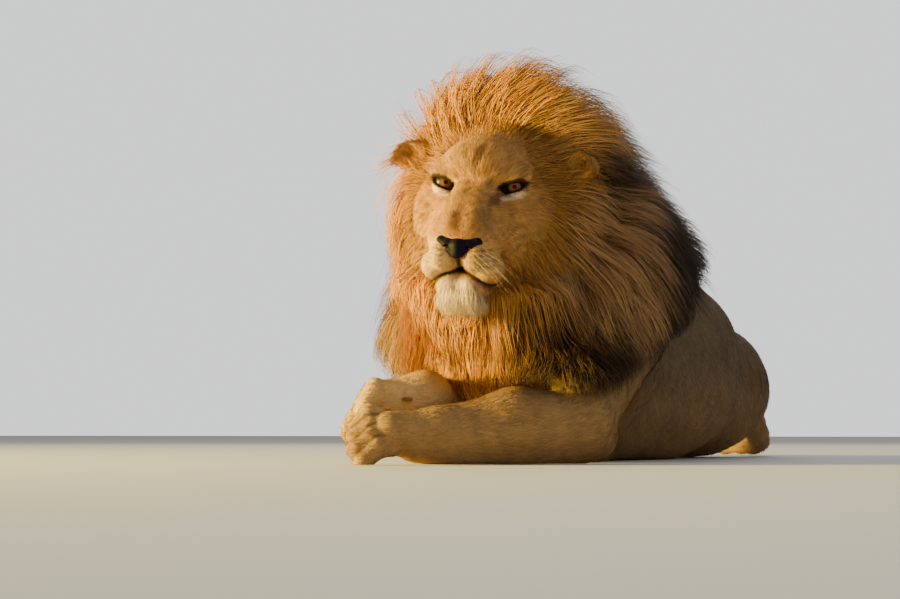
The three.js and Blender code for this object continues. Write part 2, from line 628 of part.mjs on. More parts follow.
// A flat tapered lock from a root on the heart: a cone laid along a curve that first stands
// off the flesh and then lies over along the run of the hair.
const LOCK_SIDES = 3;
const LOCK_TAPER = [0.85, 1, 0.72, 0];
const SHORT_LOCK_TAPER = [0.9, 1, 0];
const SHORT_LOCK = 135; // a lock under this length bends only once
const BEND_AT = 0.38; // the share of its length where a lock bends over
const TIP_HEIGHT = 0.86; // of the height of the mane
function lock(root, facing, run, length, height, halfWidth) {
  const start = root.clone().addScaledVector(maneFlesh.outward(root), -LOCK_SINK);
  const middle = raised(root.clone().addScaledVector(run, length * BEND_AT), height);
  const end = raised(root.clone().addScaledVector(run, length), height * TIP_HEIGHT);
  const curve = new THREE.QuadraticBezierCurve3(start, middle, end);
  const taper = length < SHORT_LOCK ? SHORT_LOCK_TAPER : LOCK_TAPER;
  const steps = taper.length - 1;
  const geometry = new THREE.ConeGeometry(1, 1, LOCK_SIDES, steps);
  const position = geometry.attributes.position;
  for (let i = 0; i < position.count; i++) {
    const t = THREE.MathUtils.clamp(position.getY(i) + 0.5, 0, 1);
    const radius = 1 - t;
    const [x, z] = radius < 1e-6 ? [0, 0] : [position.getX(i) / radius, position.getZ(i) / radius];
    const wide = halfWidth * taper[Math.round(t * steps)];
    const [side, rise] = frameOf(curve.getTangent(t), facing);
    const p = curve.getPoint(t).addScaledVector(side, x * wide);
    p.addScaledVector(rise, z * wide * LOCK_FLATNESS);
    position.setXYZ(i, p.x, p.y, p.z);
  }
  return solidOf(geometry);
}

const ON_MANE = 0.4; // a lock grows only where the mane is at least this full
const LOWEST_LOCK = 20;
const locks = [];
const roots = [];
for (let i = 0; i < LOCK_TRIES; i++) {
  const y = mix(-1.3, 1.45, (i + 0.5) / LOCK_TRIES);
  const turn = i * Math.PI * (3 - Math.sqrt(5));
  const beyond = Math.max(Math.abs(y) - 0.5, 0);
  const width = Math.sqrt(Math.max(1 - beyond ** 2, 0));
  const [origin, ray] = rayFrom(maneCurve, width * Math.cos(turn), y, width * Math.sin(turn));
  const root = maneFlesh.reach(origin, ray, heartDepth);
  const { run, length, height, spacing } = hairAt(root);
  if (onMane(root) < ON_MANE || roots.some((r) => r.distanceTo(root) < spacing)) continue;
  roots.push(root);
  // The flat of a lock faces out from the flesh and, round the head, forward too.
  const nearHead = 1 - smooth(root.y, -760, -600);
  const facing = maneFlesh.outward(root).add(V(0, -LOCK_FORWARD * nearHead, 0)).normalize();
  const size = mix(...LOCK_SIZE_RANGE, chance());
  const sway = frameOf(run, facing)[0].multiplyScalar(mix(-LOCK_SWAY, LOCK_SWAY, chance()));
  const overBrow = nearHead * smooth(root.z, 500, 580);
  const halfWidth = mix(LOCK_HALF_WIDTH, CROWN_HALF_WIDTH, overBrow) * spacing * size;
  const made = lock(root, facing, run.add(sway).normalize(), length * size, height, halfWidth);
  if (made.boundingBox().min[2] > LOWEST_LOCK) locks.push(made);
}
mane = wasm.Manifold.union([mane, ...locks]);
const faceRoom = sideOf(sideOf(mane, FACE_PLANE, true), JAW_PLANE, true);
mane = largest(mane.subtract(faceRoom));
for (const room of [torsoRoom, neckRoom, headRoom, jawRoom, ...earRooms, ...leftForeleg, ...rightForeleg])
  mane = mane.subtract(room);

const chest = sideOf(mane, CHEST_PLANE, false);
const upper = sideOf(mane, CHEST_PLANE, true);
const crown = sideOf(upper, CROWN_PLANE, false);
const nape = sideOf(upper, CROWN_PLANE, true);
part("mane_crown", crown, "mane", onHead(0, -100, 60));
part("mane_left", sideOf(nape, FLANK_PLANE, true), "mane", V(90, -500, 380));
part("mane_right", sideOf(nape, FLANK_PLANE, false), "mane", V(-90, -500, 380));
part("mane_chest", chest, "mane", V(0, -700, 260));

export default lion;
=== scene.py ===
from itertools import product

import bpy
import numpy as np
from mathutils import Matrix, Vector


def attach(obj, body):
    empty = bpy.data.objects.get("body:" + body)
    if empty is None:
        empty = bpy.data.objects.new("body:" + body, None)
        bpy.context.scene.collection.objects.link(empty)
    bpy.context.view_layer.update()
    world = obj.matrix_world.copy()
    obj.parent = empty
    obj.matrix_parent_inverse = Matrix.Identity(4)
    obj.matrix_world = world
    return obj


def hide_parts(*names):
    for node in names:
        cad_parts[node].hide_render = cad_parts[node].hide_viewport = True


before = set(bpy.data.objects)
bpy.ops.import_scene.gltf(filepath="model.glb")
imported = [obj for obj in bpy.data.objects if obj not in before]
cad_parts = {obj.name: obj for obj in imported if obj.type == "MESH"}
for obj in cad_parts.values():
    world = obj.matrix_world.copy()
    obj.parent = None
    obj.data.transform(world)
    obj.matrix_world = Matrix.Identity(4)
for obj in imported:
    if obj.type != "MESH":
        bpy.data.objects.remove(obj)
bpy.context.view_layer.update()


# ---------------------------------------------------------------- camera, light and floor
# A long lens near the floor looks at the lion from the front and a little from its left.
# A warm lamp low on the lion's right stands for a low sun, and a pale floor carries it.
MILLIMETRE = 0.001
LENS = 122.2
CAMERA_PLACE = Vector((1.839, -6.216, 0.07))
CAMERA_TARGET = Vector((-0.042, -1.048, 0.298))
camera = bpy.data.objects.new("camera", bpy.data.cameras.new("camera"))
camera.data.lens = LENS
camera.location = CAMERA_PLACE
camera.rotation_mode = "QUATERNION"
camera.rotation_quaternion = (CAMERA_TARGET - CAMERA_PLACE).to_track_quat("-Z", "Y")
bpy.context.scene.collection.objects.link(camera)
bpy.context.scene.camera = camera

LAMP_TARGET = Vector((0, -0.5, 0.35))
LAMPS = {  # place, width in metres, watts, colour
    "key_lamp": ((-5.4, -3.1, 0.95), 1.2, 2200, (1.0, 0.79, 0.17)),
    "fill_lamp": ((4.0, -4.5, 2.6), 4.0, 80, (0.72, 0.86, 1.0)),
    "rim_lamp": ((-1.5, 4.5, 3.2), 3.0, 80, (1.0, 0.92, 0.82)),
}
for name, (place, width, watts, colour) in LAMPS.items():
    lamp = bpy.data.objects.new(name, bpy.data.lights.new(name, "AREA"))
    lamp.data.size = width
    lamp.data.energy = watts
    lamp.data.color = colour
    lamp.location = place
    lamp.rotation_mode = "QUATERNION"
    lamp.rotation_quaternion = (LAMP_TARGET - lamp.location).to_track_quat("-Z", "Y")
    bpy.context.scene.collection.objects.link(lamp)

world = bpy.data.worlds.new("studio")
world.use_nodes = True
sky_tree = world.node_tree
seen_sky = sky_tree.nodes["Background"]
lighting_sky = sky_tree.nodes.new("ShaderNodeBackground")
for sky, colour, strength in [(seen_sky, (0.90, 0.91, 0.92, 1), 1.32),
                              (lighting_sky, (0.88, 0.88, 0.90, 1), 0.46)]:
    sky.inputs["Color"].default_value = colour
    sky.inputs["Strength"].default_value = strength
ray = sky_tree.nodes.new("ShaderNodeLightPath")
chosen = sky_tree.nodes.new("ShaderNodeMixShader")
for place, source in enumerate([ray.outputs["Is Camera Ray"], lighting_sky.outputs[0], seen_sky.outputs[0]]):
    sky_tree.links.new(source, chosen.inputs[place])
sky_tree.links.new(chosen.outputs[0], sky_tree.nodes["World Output"].inputs[0])
bpy.context.scene.world = world


class Finish:
    """A material whose nodes are added one by one, and what feeds its Principled shader."""

    def __init__(self, name, specular=None, **constants):
        self.material = bpy.data.materials.new(name)
        self.material.use_nodes = True
        self.tree = self.material.node_tree
        self.shader = self.tree.nodes["Principled BSDF"]
        self.feed(**constants)
        if specular is not None:
            self.shader.inputs["Specular IOR Level"].default_value = specular

    def node(self, kind, output=0, settings=None, **values):
        """The output of a new node, with its settings first and then the values of its sockets."""
        made = self.tree.nodes.new("ShaderNode" + kind)
        for key, value in (settings or {}).items():
            setattr(made, key, value)
        self.join(made, values)
        return made.outputs[output]

    def join(self, node, values):
        sockets = {s.name.replace(" ", ""): s for s in node.inputs if s.enabled}
        for key, value in values.items():
            if isinstance(value, bpy.types.NodeSocket):
                self.tree.links.new(value, sockets[key])
            else:
                sockets[key].default_value = value

    def feed(self, **values):
        self.join(self.shader, values)

    def coloured(self):
        """The finish with the colour that its mesh carries."""
        self.feed(BaseColor=self.node("Attribute", 0, {"attribute_name": "coat"}))
        return self

    def bumped(self, height, strength, distance):
        """The finish with its surface raised by a pattern."""
        self.feed(Normal=self.node("Bump", 0, Height=height, Strength=strength, Distance=distance))


floor_finish = Finish("floor_paint", BaseColor=(0.62, 0.61, 0.60, 1), Roughness=0.75)
FLOOR_HALF = 14.0
FLOOR_CORNERS = [(x * FLOOR_HALF, y * FLOOR_HALF, 0) for x, y in [(-1, -1), (1, -1), (1, 1), (-1, 1)]]
floor_mesh = bpy.data.meshes.new("floor")
floor_mesh.from_pydata(FLOOR_CORNERS, [], [(0, 1, 2, 3)])
floor_mesh.materials.append(floor_finish.material)
floor = bpy.data.objects.new("floor", floor_mesh)
bpy.context.scene.collection.objects.link(floor)


# ---------------------------------------------------------------- hide of the body
# One skin over trunk, neck, legs and tail, inside the coat by its depth, and under the mane
# raised to the dense heart of the hair. It is where a blend of rounded masses passes nought.
def ramp(value, low, high):
    """0 under low, 1 over high, and the smooth step 3tt - 2ttt between."""
    t = np.clip((value - low) / (high - low), 0, 1)
    return t * t * (3 - 2 * t)


def blended(a, b, soft):
    """The least of two distances, run together over a length: least - hh/4s, h = s - |a - b|."""
    h = np.maximum(soft - np.abs(a - b), 0)
    return np.minimum(a, b) - h * h / (4 * soft)


def turn_about(axis, degrees):
    """The matrix that turns a vector about one of the axes 0, 1 or 2."""
    angle = np.radians(degrees)
    made = np.eye(3)
    a, b = [(1, 2), (2, 0), (0, 1)][axis]
    made[a, a] = made[b, b] = np.cos(angle)
    made[a, b], made[b, a] = -np.sin(angle), np.sin(angle)
    return made


def long(v, keep=False):
    """The length of each vector of an array."""
    return np.linalg.norm(v, axis=-1, keepdims=keep)


def rod(p, start, end, start_radius, end_radius):
    """Distance to the nearest point of a line, less a radius that runs evenly along it."""
    start, along = np.array(start, float), np.subtract(end, start).astype(float)
    t = np.clip((p - start) @ along / (along @ along), 0, 1)
    return long(p - start - t[..., None] * along) - start_radius - t * (end_radius - start_radius)


def oval(p, centre, radii, turn=np.eye(3)):
    """k (k - 1) / |q / r|, where q is the place in the oval's axes, r its radii, k = |q|."""
    q = (p - np.array(centre, float)) @ turn / np.array(radii, float)
    k = long(q)
    return k * (k - 1) / np.maximum(long(q / np.array(radii, float)), 1e-9)


class Flesh:
    """Rounded limbs and oval masses run together over a blend length, all in millimetres.
    at(p) is about how far each point of an array lies outside of them."""

    def __init__(self, soft, *others):
        self.soft = soft
        self.forms = [form for other in others for form in other.forms]

    def limb(self, start, start_radius, end, end_radius):
        ends, reach = np.array([start, end], float), max(start_radius, end_radius)
        self.forms.append((lambda p: rod(p, start, end, start_radius, end_radius),
                           ends.min(0) - reach, ends.max(0) + reach))
        return self

    def mass(self, centre, radii, turn=np.eye(3)):
        self.forms.append((lambda p: oval(p, centre, radii, turn),
                           np.subtract(centre, max(radii)), np.add(centre, max(radii))))
        return self

    def at(self, p):
        depth = self.forms[0][0](p)
        for form, low, high in self.forms[1:]:
            depth = blended(depth, form(p), self.soft)
        return depth

    def box(self):
        return np.min([f[1] for f in self.forms], 0), np.max([f[2] for f in self.forms], 0)


def unit(v, least=1e-9):
    """Each vector of an array at length 1."""
    return v / np.maximum(long(v, True), least)


def outward(field, p, step=1.5):
    """The way in which a field grows fastest, from its differences over a small step."""
    slopes = [field(p + step * axis) - field(p - step * axis) for axis in np.eye(3)]
    slope = np.stack(slopes, -1) / (2 * step)
    return unit(slope, 1e-6)


def settled(field, p, rounds=2, longest=2.0):
    """Points moved along the slope of a field, a little at a time, on to where it passes nought."""
    for _ in range(rounds):
        p = p - np.clip(field(p), -longest, longest)[:, None] * outward(field, p) * 0.8
    return p


def skin_of(values, low, step):
    """One point in each cell of a grid where the values change sign, at the mean of the places
    where they pass nought on its edges, and one face round each grid line that does so."""
    inside = values < 0
    shape = np.array(values.shape)
    corners = [inside[tuple(slice(o, n - 1 + o) for o, n in zip(corner, shape))]
               for corner in product((0, 1), repeat=3)]
    count = np.sum(corners, 0)
    crossed = (count > 0) & (count < 8)
    number = np.full(crossed.shape, -1, np.int64)
    number[crossed] = np.arange(crossed.sum())
    cells = np.argwhere(crossed)
    total, hits = np.zeros((len(cells), 3)), np.zeros(len(cells))
    faces = []
    for axis in range(3):
        ahead, b, c = np.roll(np.eye(3, dtype=int), -axis, 0)
        for corner in [0 * b, b, c, b + c]:
            start = values[tuple((cells + corner).T)]
            end = values[tuple((cells + corner + ahead).T)]
            hit = (start < 0) != (end < 0)
            share = np.where(hit, start / np.where(hit, start - end, 1), 0)
            total += np.where(hit, 1, 0)[:, None] * (corner + share[:, None] * ahead)
            hits += hit
        one = inside[tuple(slice(0, n - u) for n, u in zip(shape, ahead))]
        two = inside[tuple(slice(u, n) for n, u in zip(shape, ahead))]
        line = np.argwhere(one != two)
        line = line[((line >= b + c) & (line < shape - 1)).all(1)]
        around = [number[tuple((line - o).T)] for o in (0 * b, b, b + c, c)]
        face = np.stack(around, -1)
        leaving = one[tuple(line.T)]
        faces.append(np.where(leaving[:, None], face, face[:, ::-1]))
    return low + step * (cells + total / hits[:, None]), np.concatenate(faces)


def mesh_of(name, points, faces, colours=None, smooth=True):
    """A mesh piece from points in millimetres, faces of equal length, and a colour a point."""
    points, faces = np.asarray(points), np.asarray(faces)
    mesh = bpy.data.meshes.new(name)
    mesh.vertices.add(len(points))
    mesh.vertices.foreach_set("co", (points * MILLIMETRE).astype(np.float32).ravel())
    sides = faces.shape[1]
    mesh.loops.add(faces.size)
    mesh.loops.foreach_set("vertex_index", faces.astype(np.int32).ravel())
    mesh.polygons.add(len(faces))
    mesh.polygons.foreach_set("loop_start", np.arange(0, faces.size, sides, dtype=np.int32))
    mesh.polygons.foreach_set("loop_total", np.full(len(faces), sides, np.int32))
    mesh.update(calc_edges=True)
    mesh.validate()
    mesh.polygons.foreach_set("use_smooth", np.full(len(mesh.polygons), smooth))
    if colours is not None:
        layer = mesh.color_attributes.new("coat", "FLOAT_COLOR", "POINT")
        four = np.concatenate([colours, np.ones((len(colours), 1))], 1)
        layer.data.foreach_set("color", four.astype(np.float32).ravel())
    piece = bpy.data.objects.new(name, mesh)
    bpy.context.scene.collection.objects.link(piece)
    return piece


def carried(piece, finish):
    """A piece with its material, on the one body."""
    piece.data.materials.append(finish.material)
    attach(piece, "root")
    return piece


# The head's own frame: x to the lion's left, y out of the nose, z up, from between the eyes.
EYES_CENTRE = np.array([-36, -899, 516.0])
HEAD_TURN = turn_about(2, 180 + 4) @ turn_about(0, -3) @ turn_about(1, -5) @ np.diag([-1, 1, 1])


def from_head_frame(q):
    return q @ HEAD_TURN.T + EYES_CENTRE


def on_head(*place):
    """A place in the head's frame as a place in the lion's."""
    return from_head_frame(np.array(place, float))


def to_head(p):
    return (p - EYES_CENTRE) @ HEAD_TURN


BODY_BLEND = 55
LIMB_BLEND = 28
trunk = (
    Flesh(BODY_BLEND)
    .mass((0, -420, 252), (192, 370, 258), turn_about(1, 8))
    .mass((-5, -640, 235), (130, 130, 165))
    .mass((8, -440, 450), (82, 200, 82))
    .mass((12, -210, 215), (180, 380, 222), turn_about(1, 16))
    .mass((18, 20, 195), (170, 370, 200), turn_about(1, 28))
    .mass((-15, 60, 135), (180, 330, 140))
    .mass((10, 390, 152), (150, 250, 168), turn_about(1, 60))
    .mass((20, 545, 132), (112, 120, 125), turn_about(1, 60))
)
neck = Flesh(BODY_BLEND).limb((-60, -740, 490), 105, (5, -480, 430), 112)
neck.limb((-55, -770, 410), 92, (-5, -600, 260), 140)
skull = Flesh(17).mass(on_head(0, -95, 7), (106, 115, 100), HEAD_TURN)
skull.mass(on_head(0, -30, 27), (88, 75, 60), HEAD_TURN)
skull.mass(on_head(0, 10, -62), (66, 100, 58), HEAD_TURN)
jaw = Flesh(17).mass(on_head(0, 72, -188), (50, 44, 38), HEAD_TURN)
for side in (-1, 1):
    skull.mass(on_head(side * 88, -60, -62), (51, 85, 84), HEAD_TURN)
    jaw.limb(on_head(side * 50, -60, -125), 44, on_head(side * 26, 64, -176), 30)
throat = Flesh(BODY_BLEND).limb((-72, -825, 380), 56, (-88, -775, 200), 44)
throat.limb((-20, -810, 360), 58, (25, -770, 205), 46)


TOE_LINES = []


def paw(wrist, wrist_radius, knuckles, across, toe, toe_length, toe_drop):
    """A hand from the wrist to the knuckles and four toes side by side that bend down."""
    wrist, knuckles, across = np.array(wrist, float), np.array(knuckles, float), np.array(across)
    flesh = Flesh(9).limb(wrist, wrist_radius, knuckles, wrist_radius * 0.92)
    ahead, across = unit(knuckles - wrist), unit(across)
    rise = np.cross(across, ahead)
    rise = rise * np.sign(rise[2] + 1e-9) * toe
    for i in range(4):
        place = (i - 1.5) / 1.5
        shorter = 1 - 0.16 * place * place
        root = knuckles + across * place * toe * 1.5
        middle = root + ahead * toe_length * 0.6 * shorter + rise * 0.18
        tip = root + ahead * toe_length * shorter + np.array(toe_drop)
        flesh.limb(root, toe * 0.7, middle, toe * 0.93).limb(middle, toe * 0.95, tip, toe * 0.88)
        TOE_LINES.append((root, middle, tip))
    return flesh


ELBOW_LEFT, WRIST_LEFT, KNUCKLES_LEFT = (134, -834, 72), (-72, -1008, 56), (-150, -1070, 58)
MID_FOREARM_LEFT = (38, -918, 69)
ELBOW_RIGHT, WRIST_RIGHT, KNUCKLES_RIGHT = (-195, -585, 76), (-133, -932, 124), (-190, -985, 117)
left_arm = Flesh(LIMB_BLEND).mass((140, -600, 290), (85, 130, 150))
left_arm.limb((150, -600, 250), 88, ELBOW_LEFT, 64).limb(ELBOW_LEFT, 64, (158, -796, 44), 42)
right_arm = Flesh(LIMB_BLEND).mass((-135, -570, 290), (85, 130, 150))
right_arm.limb((-150, -590, 250), 88, ELBOW_RIGHT, 66)
left_forearm = Flesh(LIMB_BLEND).limb(ELBOW_LEFT, 66, MID_FOREARM_LEFT, 71)
left_forearm.limb(MID_FOREARM_LEFT, 71, WRIST_LEFT, 51).limb((-40, -984, 28), 26, (-112, -1034, 27), 24)
left_forearm.limb((118, -848, 37), 37, (-30, -974, 35), 35)
right_forearm = Flesh(LIMB_BLEND).limb(ELBOW_RIGHT, 68, WRIST_RIGHT, 48)
left_paw = paw(WRIST_LEFT, 48, KNUCKLES_LEFT, (-0.35, 0.45, 0.82), 24, 62, (0, -8, -22))
right_paw = paw(WRIST_RIGHT, 46, KNUCKLES_RIGHT, (0.5, -0.45, 0.6), 22, 62, (-4, -6, -36))
DEWCLAW = (-140, -1004, 119)
right_paw.limb((-155, -972, 126), 19, DEWCLAW, 10)
KNEE_RIGHT, HOCK_RIGHT, TOES_RIGHT = (-270, 255, 165), (-400, 520, 66), (-462, 350, 42)
KNEE_LEFT, HOCK_LEFT, TOES_LEFT = (-160, 200, 80), (-345, 372, 48), (-402, 205, 42)
right_hind = Flesh(LIMB_BLEND).limb((-5, 430, 200), 112, KNEE_RIGHT, 78)
right_hind.limb(KNEE_RIGHT, 72, HOCK_RIGHT, 40)
right_foot = paw(HOCK_RIGHT, 38, TOES_RIGHT, (1, -0.3, 0), 19, 52, (0, 0, -12))
left_hind = Flesh(LIMB_BLEND).limb((30, 420, 110), 100, KNEE_LEFT, 76).limb(KNEE_LEFT, 66, HOCK_LEFT, 38)
left_foot = paw(HOCK_LEFT, 36, TOES_LEFT, (1, -0.3, 0), 19, 52, (0, 0, -12))

TAIL_POINTS = np.array([(55, 600, 165), (72, 700, 75), (60, 790, 32), (-20, 890, 25),
                        (-150, 945, 23), (-300, 950, 21), (-430, 912, 20), (-505, 866, 18)], float)
TAIL_ROOT_RADIUS, TAIL_END_RADIUS = 40, 14


def curve_through(points, shares):
    """A smooth line through points: on each stretch p1 + u (p2 - p0)/2 + ... (Catmull-Rom)."""
    points = np.asarray(points, float)
    ends = np.concatenate([[2 * points[0] - points[1]], points, [2 * points[-1] - points[-2]]])
    place = np.clip(shares, 0, 1) * (len(points) - 1)
    i = np.minimum(place.astype(int), len(points) - 2)
    u = (place - i)[:, None]
    a, b, c, d = (ends[i + k] for k in range(4))
    return 0.5 * (2 * b + (c - a) * u + (2 * a - 5 * b + 4 * c - d) * u**2
                  + (3 * b - a - 3 * c + d) * u**3)


tail_shares = np.linspace(0, 1, 16)
tail_line = curve_through(TAIL_POINTS, tail_shares)
tail_radii = TAIL_ROOT_RADIUS + (TAIL_END_RADIUS - TAIL_ROOT_RADIUS) * np.sqrt(tail_shares)
tail = Flesh(10)
for i in range(15):
    tail.limb(tail_line[i], tail_radii[i], tail_line[i + 1], tail_radii[i + 1])

# Where the mane grows, how its hair runs, how long it is and how high it stands off the flesh.
MANE_EDGE_Y, MANE_EDGE_Z, MANE_EDGE_SLOPE, EDGE_SOFTNESS = -480, 245, 0.41, 70
HAIRLINE_TOP, HAIRLINE_BACK, HAIRLINE_SLOPE = 105, -95, 0.279
FACE_SOFTNESS = 40
UNDER_JAW = 65


def behind_hairline(q):
    """How far places in the head's frame lie behind the sloping line where the mane begins."""
    return HAIRLINE_BACK + HAIRLINE_SLOPE * (HAIRLINE_TOP - q[..., 2]) - q[..., 1]


def above_edge(p):
    """Height over the slanting line where the mane ends on the shoulder and the side."""
    return p[..., 2] - MANE_EDGE_Z - MANE_EDGE_SLOPE * (p[..., 1] - MANE_EDGE_Y)


def on_mane(p):
    """1 where the mane grows and 0 off it: behind the hairline and above the shoulder line."""
    q = to_head(p)
    behind = behind_hairline(q) + UNDER_JAW * ramp(-q[..., 2], 160, 200)
    off_floor = ramp(p[..., 2], 110, 160)
    return ramp(behind, 0, FACE_SOFTNESS) * ramp(above_edge(p), 0, EDGE_SOFTNESS) * off_floor


MANE_GUIDES = [  # place, the way the hair runs, its length, the mane's height
    (on_head(0, -95, 105), (0.42, 0.80, 0.10), 320, 224),
    (on_head(65, -95, 85), (0.75, 0.62, -0.05), 285, 205),
    (on_head(-65, -95, 85), (0.10, 0.85, 0.12), 320, 224),
    (on_head(-115, -100, 60), (-0.45, 0.50, 0.62), 240, 215),
    (on_head(-130, -80, -20), (-0.10, 0.10, -0.95), 115, 36),
    (on_head(-125, -60, -90), (0.05, -0.05, -0.98), 170, 88),
    (on_head(-70, -30, -195), (0.02, -0.10, -0.98), 175, 100),
    (on_head(0, 20, -220), (0.00, -0.15, -0.98), 140, 75),
    (on_head(125, -60, -20), (0.75, 0.45, -0.35), 140, 95),
    (on_head(100, -50, -140), (0.45, 0.30, -0.80), 160, 85),
    ((-20, -600, 590), (0.35, 0.90, -0.05), 190, 150),
    ((20, -430, 540), (0.20, 0.90, -0.15), 170, 95),
    ((120, -330, 460), (0.25, 0.85, -0.40), 160, 115),
    ((190, -430, 330), (0.10, 0.60, -0.78), 110, 35),
    ((60, -200, 440), (0.20, 0.93, -0.25), 150, 75),
    ((110, -640, 400), (0.35, 0.65, -0.62), 170, 85),
    ((190, -600, 270), (0.05, 0.25, -0.95), 115, 50),
    ((-60, -840, 260), (0.00, 0.00, -0.99), 165, 125),
    ((0, -770, 220), (0.00, 0.05, -0.99), 130, 75),
    ((110, -740, 220), (0.05, 0.10, -0.99), 120, 65),
    ((-120, -700, 260), (0.00, 0.00, -0.99), 170, 195),
    ((-150, -640, 400), (-0.15, 0.20, -0.92), 190, 130),
    ((-190, -430, 330), (-0.15, 0.80, -0.60), 140, 45),
    ((-60, -250, 430), (-0.15, 0.95, -0.15), 130, 40),
]
GUIDE_SPREAD = 95


def guided(p, guides, spread):
    """The mean of what the guides say at each point, by weights exp(-dd / 2ss)."""
    places = np.array([g[0] for g in guides], np.float32)
    said = np.array([np.concatenate([g[1], g[:1:-1]]) for g in guides], np.float32)
    flat = p.reshape(-1, 3).astype(np.float32)
    apart = ((flat[:, None, :] - places) ** 2).sum(-1)
    weights = np.exp(-apart / (2 * spread**2)) + 1e-9
    out = weights @ said / weights.sum(1, keepdims=True)
    out[:, :3] = unit(out[:, :3], 1e-6)
    return out.reshape(*p.shape[:-1], said.shape[1])


HEART_SHARE = 0.3  # how much of the mane's height is the dense heart of its hair
UNDER_FLESH = 30
COAT_DEPTH, LEG_COAT = 6, 3.5
PARTS_BLEND = 26
mane_flesh = Flesh(BODY_BLEND, trunk, neck, skull, jaw, left_arm, right_arm, throat)
body_parts = [trunk, neck, left_arm, right_arm, left_forearm, right_forearm, left_paw, right_paw,
              right_hind, left_hind, right_foot, left_foot, tail]
HEART_LOW, HEART_HIGH = np.array([-220, -930, 140.0]), np.array([250, -20, 640.0])


def heart_rise(p):
    """How far the heart of the mane stands off its flesh: a share of the mane's height."""
    height = guided(p, MANE_GUIDES, GUIDE_SPREAD)[..., 3]
    return on_mane(p) * (HEART_SHARE * height + UNDER_FLESH) - UNDER_FLESH


def carved(a, b, soft):
    """A distance with another form cut out of it: the greater of a and -b, run together."""
    return -blended(-a, b, soft)


# The face in the head's own frame: x to its left, y out of the nose, z up.
EYE_SIDE, EYE_OUT, EYE_RADIUS, LID = 66, 3, 21, 3.6
SLIT_HALF_WIDTH, SLIT_HALF_HEIGHT, SLIT_TILT = 25, 8.6, 18
FACE_COAT = 3
face = Flesh(15).mass((0, -95, 7), (106, 115, 100)).mass((0, -30, 27), (88, 75, 60))
face.mass((0, 10, -62), (66, 100, 58)).mass((0, 80, -105), (58, 50, 42))
for s in (-1, 1):
    face.limb((s * 15, -5, 2), 33, (s * 18, 104, -74), 24)
    face.limb((s * 62, 4, -38), 30, (s * 93, -90, -30), 45)
    face.limb((s * 48, 10, -52), 35, (s * 38, 84, -105), 32)
    face.mass((s * 88, -60, -62), (51, 85, 84))
    face.limb((s * 50, 50, -100), 28, (s * 80, -35, -84), 38)
    face.limb((s * 60, 12, -126), 26, (s * 84, -50, -124), 40)
    face.mass((s * 62, -8, 27), (33, 27, 15), turn_about(1, s * -14))
muzzle_pads = Flesh(9)
for s in (-1, 1):
    muzzle_pads.mass((s * 27, 96, -133), (30, 45, 32), turn_about(2, s * -12))
    muzzle_pads.mass((s * 45, 74, -151), (34, 47, 33), turn_about(2, s * -12))
chin = Flesh(14).mass((-19, 75, -183), (33, 40, 29)).mass((19, 75, -183), (33, 40, 29))
for s in (-1, 1):
    chin.limb((s * 50, -60, -125), 44, (s * 24, 64, -178), 30)


def eye_slit(q, s):
    """Distance to the slanting opening between the lids of one eye."""
    radii = (SLIT_HALF_WIDTH, 18, SLIT_HALF_HEIGHT)
    return oval(q, (s * EYE_SIDE, EYE_OUT + 20, -1), radii, turn_about(1, -s * SLIT_TILT))


def upper_face_at(q):
    """The face without its lower jaw."""
    depth = blended(face.at(q), muzzle_pads.at(q), 10)
    return blended(depth, oval(q, (0, 100, -134), (12, 20, 20)), 4)


def face_at(q):
    """The bare face: skull, pads of the muzzle, jaw, lids and ears, with the eyes' slits, the
    mouth, the groove under the nose and the hollows of the ears cut out of them."""
    depth = blended(upper_face_at(q), chin.at(q), 3) + FACE_COAT
    for s in (-1, 1):
        eye = np.array([s * EYE_SIDE, EYE_OUT, 0.0])
        tilt = turn_about(1, -s * SLIT_TILT)
        lids = long(q - eye) - EYE_RADIUS - LID
        depth = carved(depth, oval(q, eye + (0, 17, 0), (30, 14, 15), tilt), 12)
        depth = blended(depth, lids, 5)
        brow = rod(q, eye + (-s * 24, 16, 12), eye + (s * 22, 8, 20), 7, 6)
        depth = blended(depth, brow, 18)
        slit = eye_slit(q, s)
        corner = rod(q, eye + (-s * 17, 19, -6), eye + (-s * 27, 28, -13), 4, 2)
        depth = carved(depth, np.minimum(slit, corner), 1.5)
        ear = oval(q, (s * 157, -104, 46), (49, 18, 31), turn_about(2, s * 22))
        hollow = oval(q, (s * 166, -72, 48), (32, 22, 21), turn_about(2, s * 22))
        depth = blended(depth, carved(ear, hollow, 6), 14)
    return depth


def lips_at(q):
    """Distance to the seam of the mouth, where upper face and jaw meet, and to the groove that
    runs up from it to the nose."""
    seam = np.abs(upper_face_at(q) - chin.at(q)) / 1.6
    seam = np.hypot(seam, np.maximum(42 - q[:, 1], 0) + np.maximum(q[:, 2] + 148, 0))
    off_groove = np.maximum(np.abs(q[:, 2] + 141) - 17, 0) + np.maximum(90 - q[:, 1], 0)
    groove = np.hypot(q[:, 0], off_groove)
    return np.minimum(seam, groove)


# each part of the body: its distance, the box that it fills and how softly it runs in
PARTS = []
for flesh in body_parts:
    depth = COAT_DEPTH if flesh in (trunk, neck, left_arm, right_arm) else LEG_COAT
    PARTS.append((lambda p, flesh=flesh, depth=depth: flesh.at(p) + depth, *flesh.box(), PARTS_BLEND))
PARTS.append((lambda p: mane_flesh.at(p) - heart_rise(p), HEART_LOW, HEART_HIGH, 12))
PARTS.append((lambda p: face_at(to_head(p)), EYES_CENTRE - 240, EYES_CENTRE + 240, 10))
PART_MARGIN, FAR_AWAY = 60, 250.0


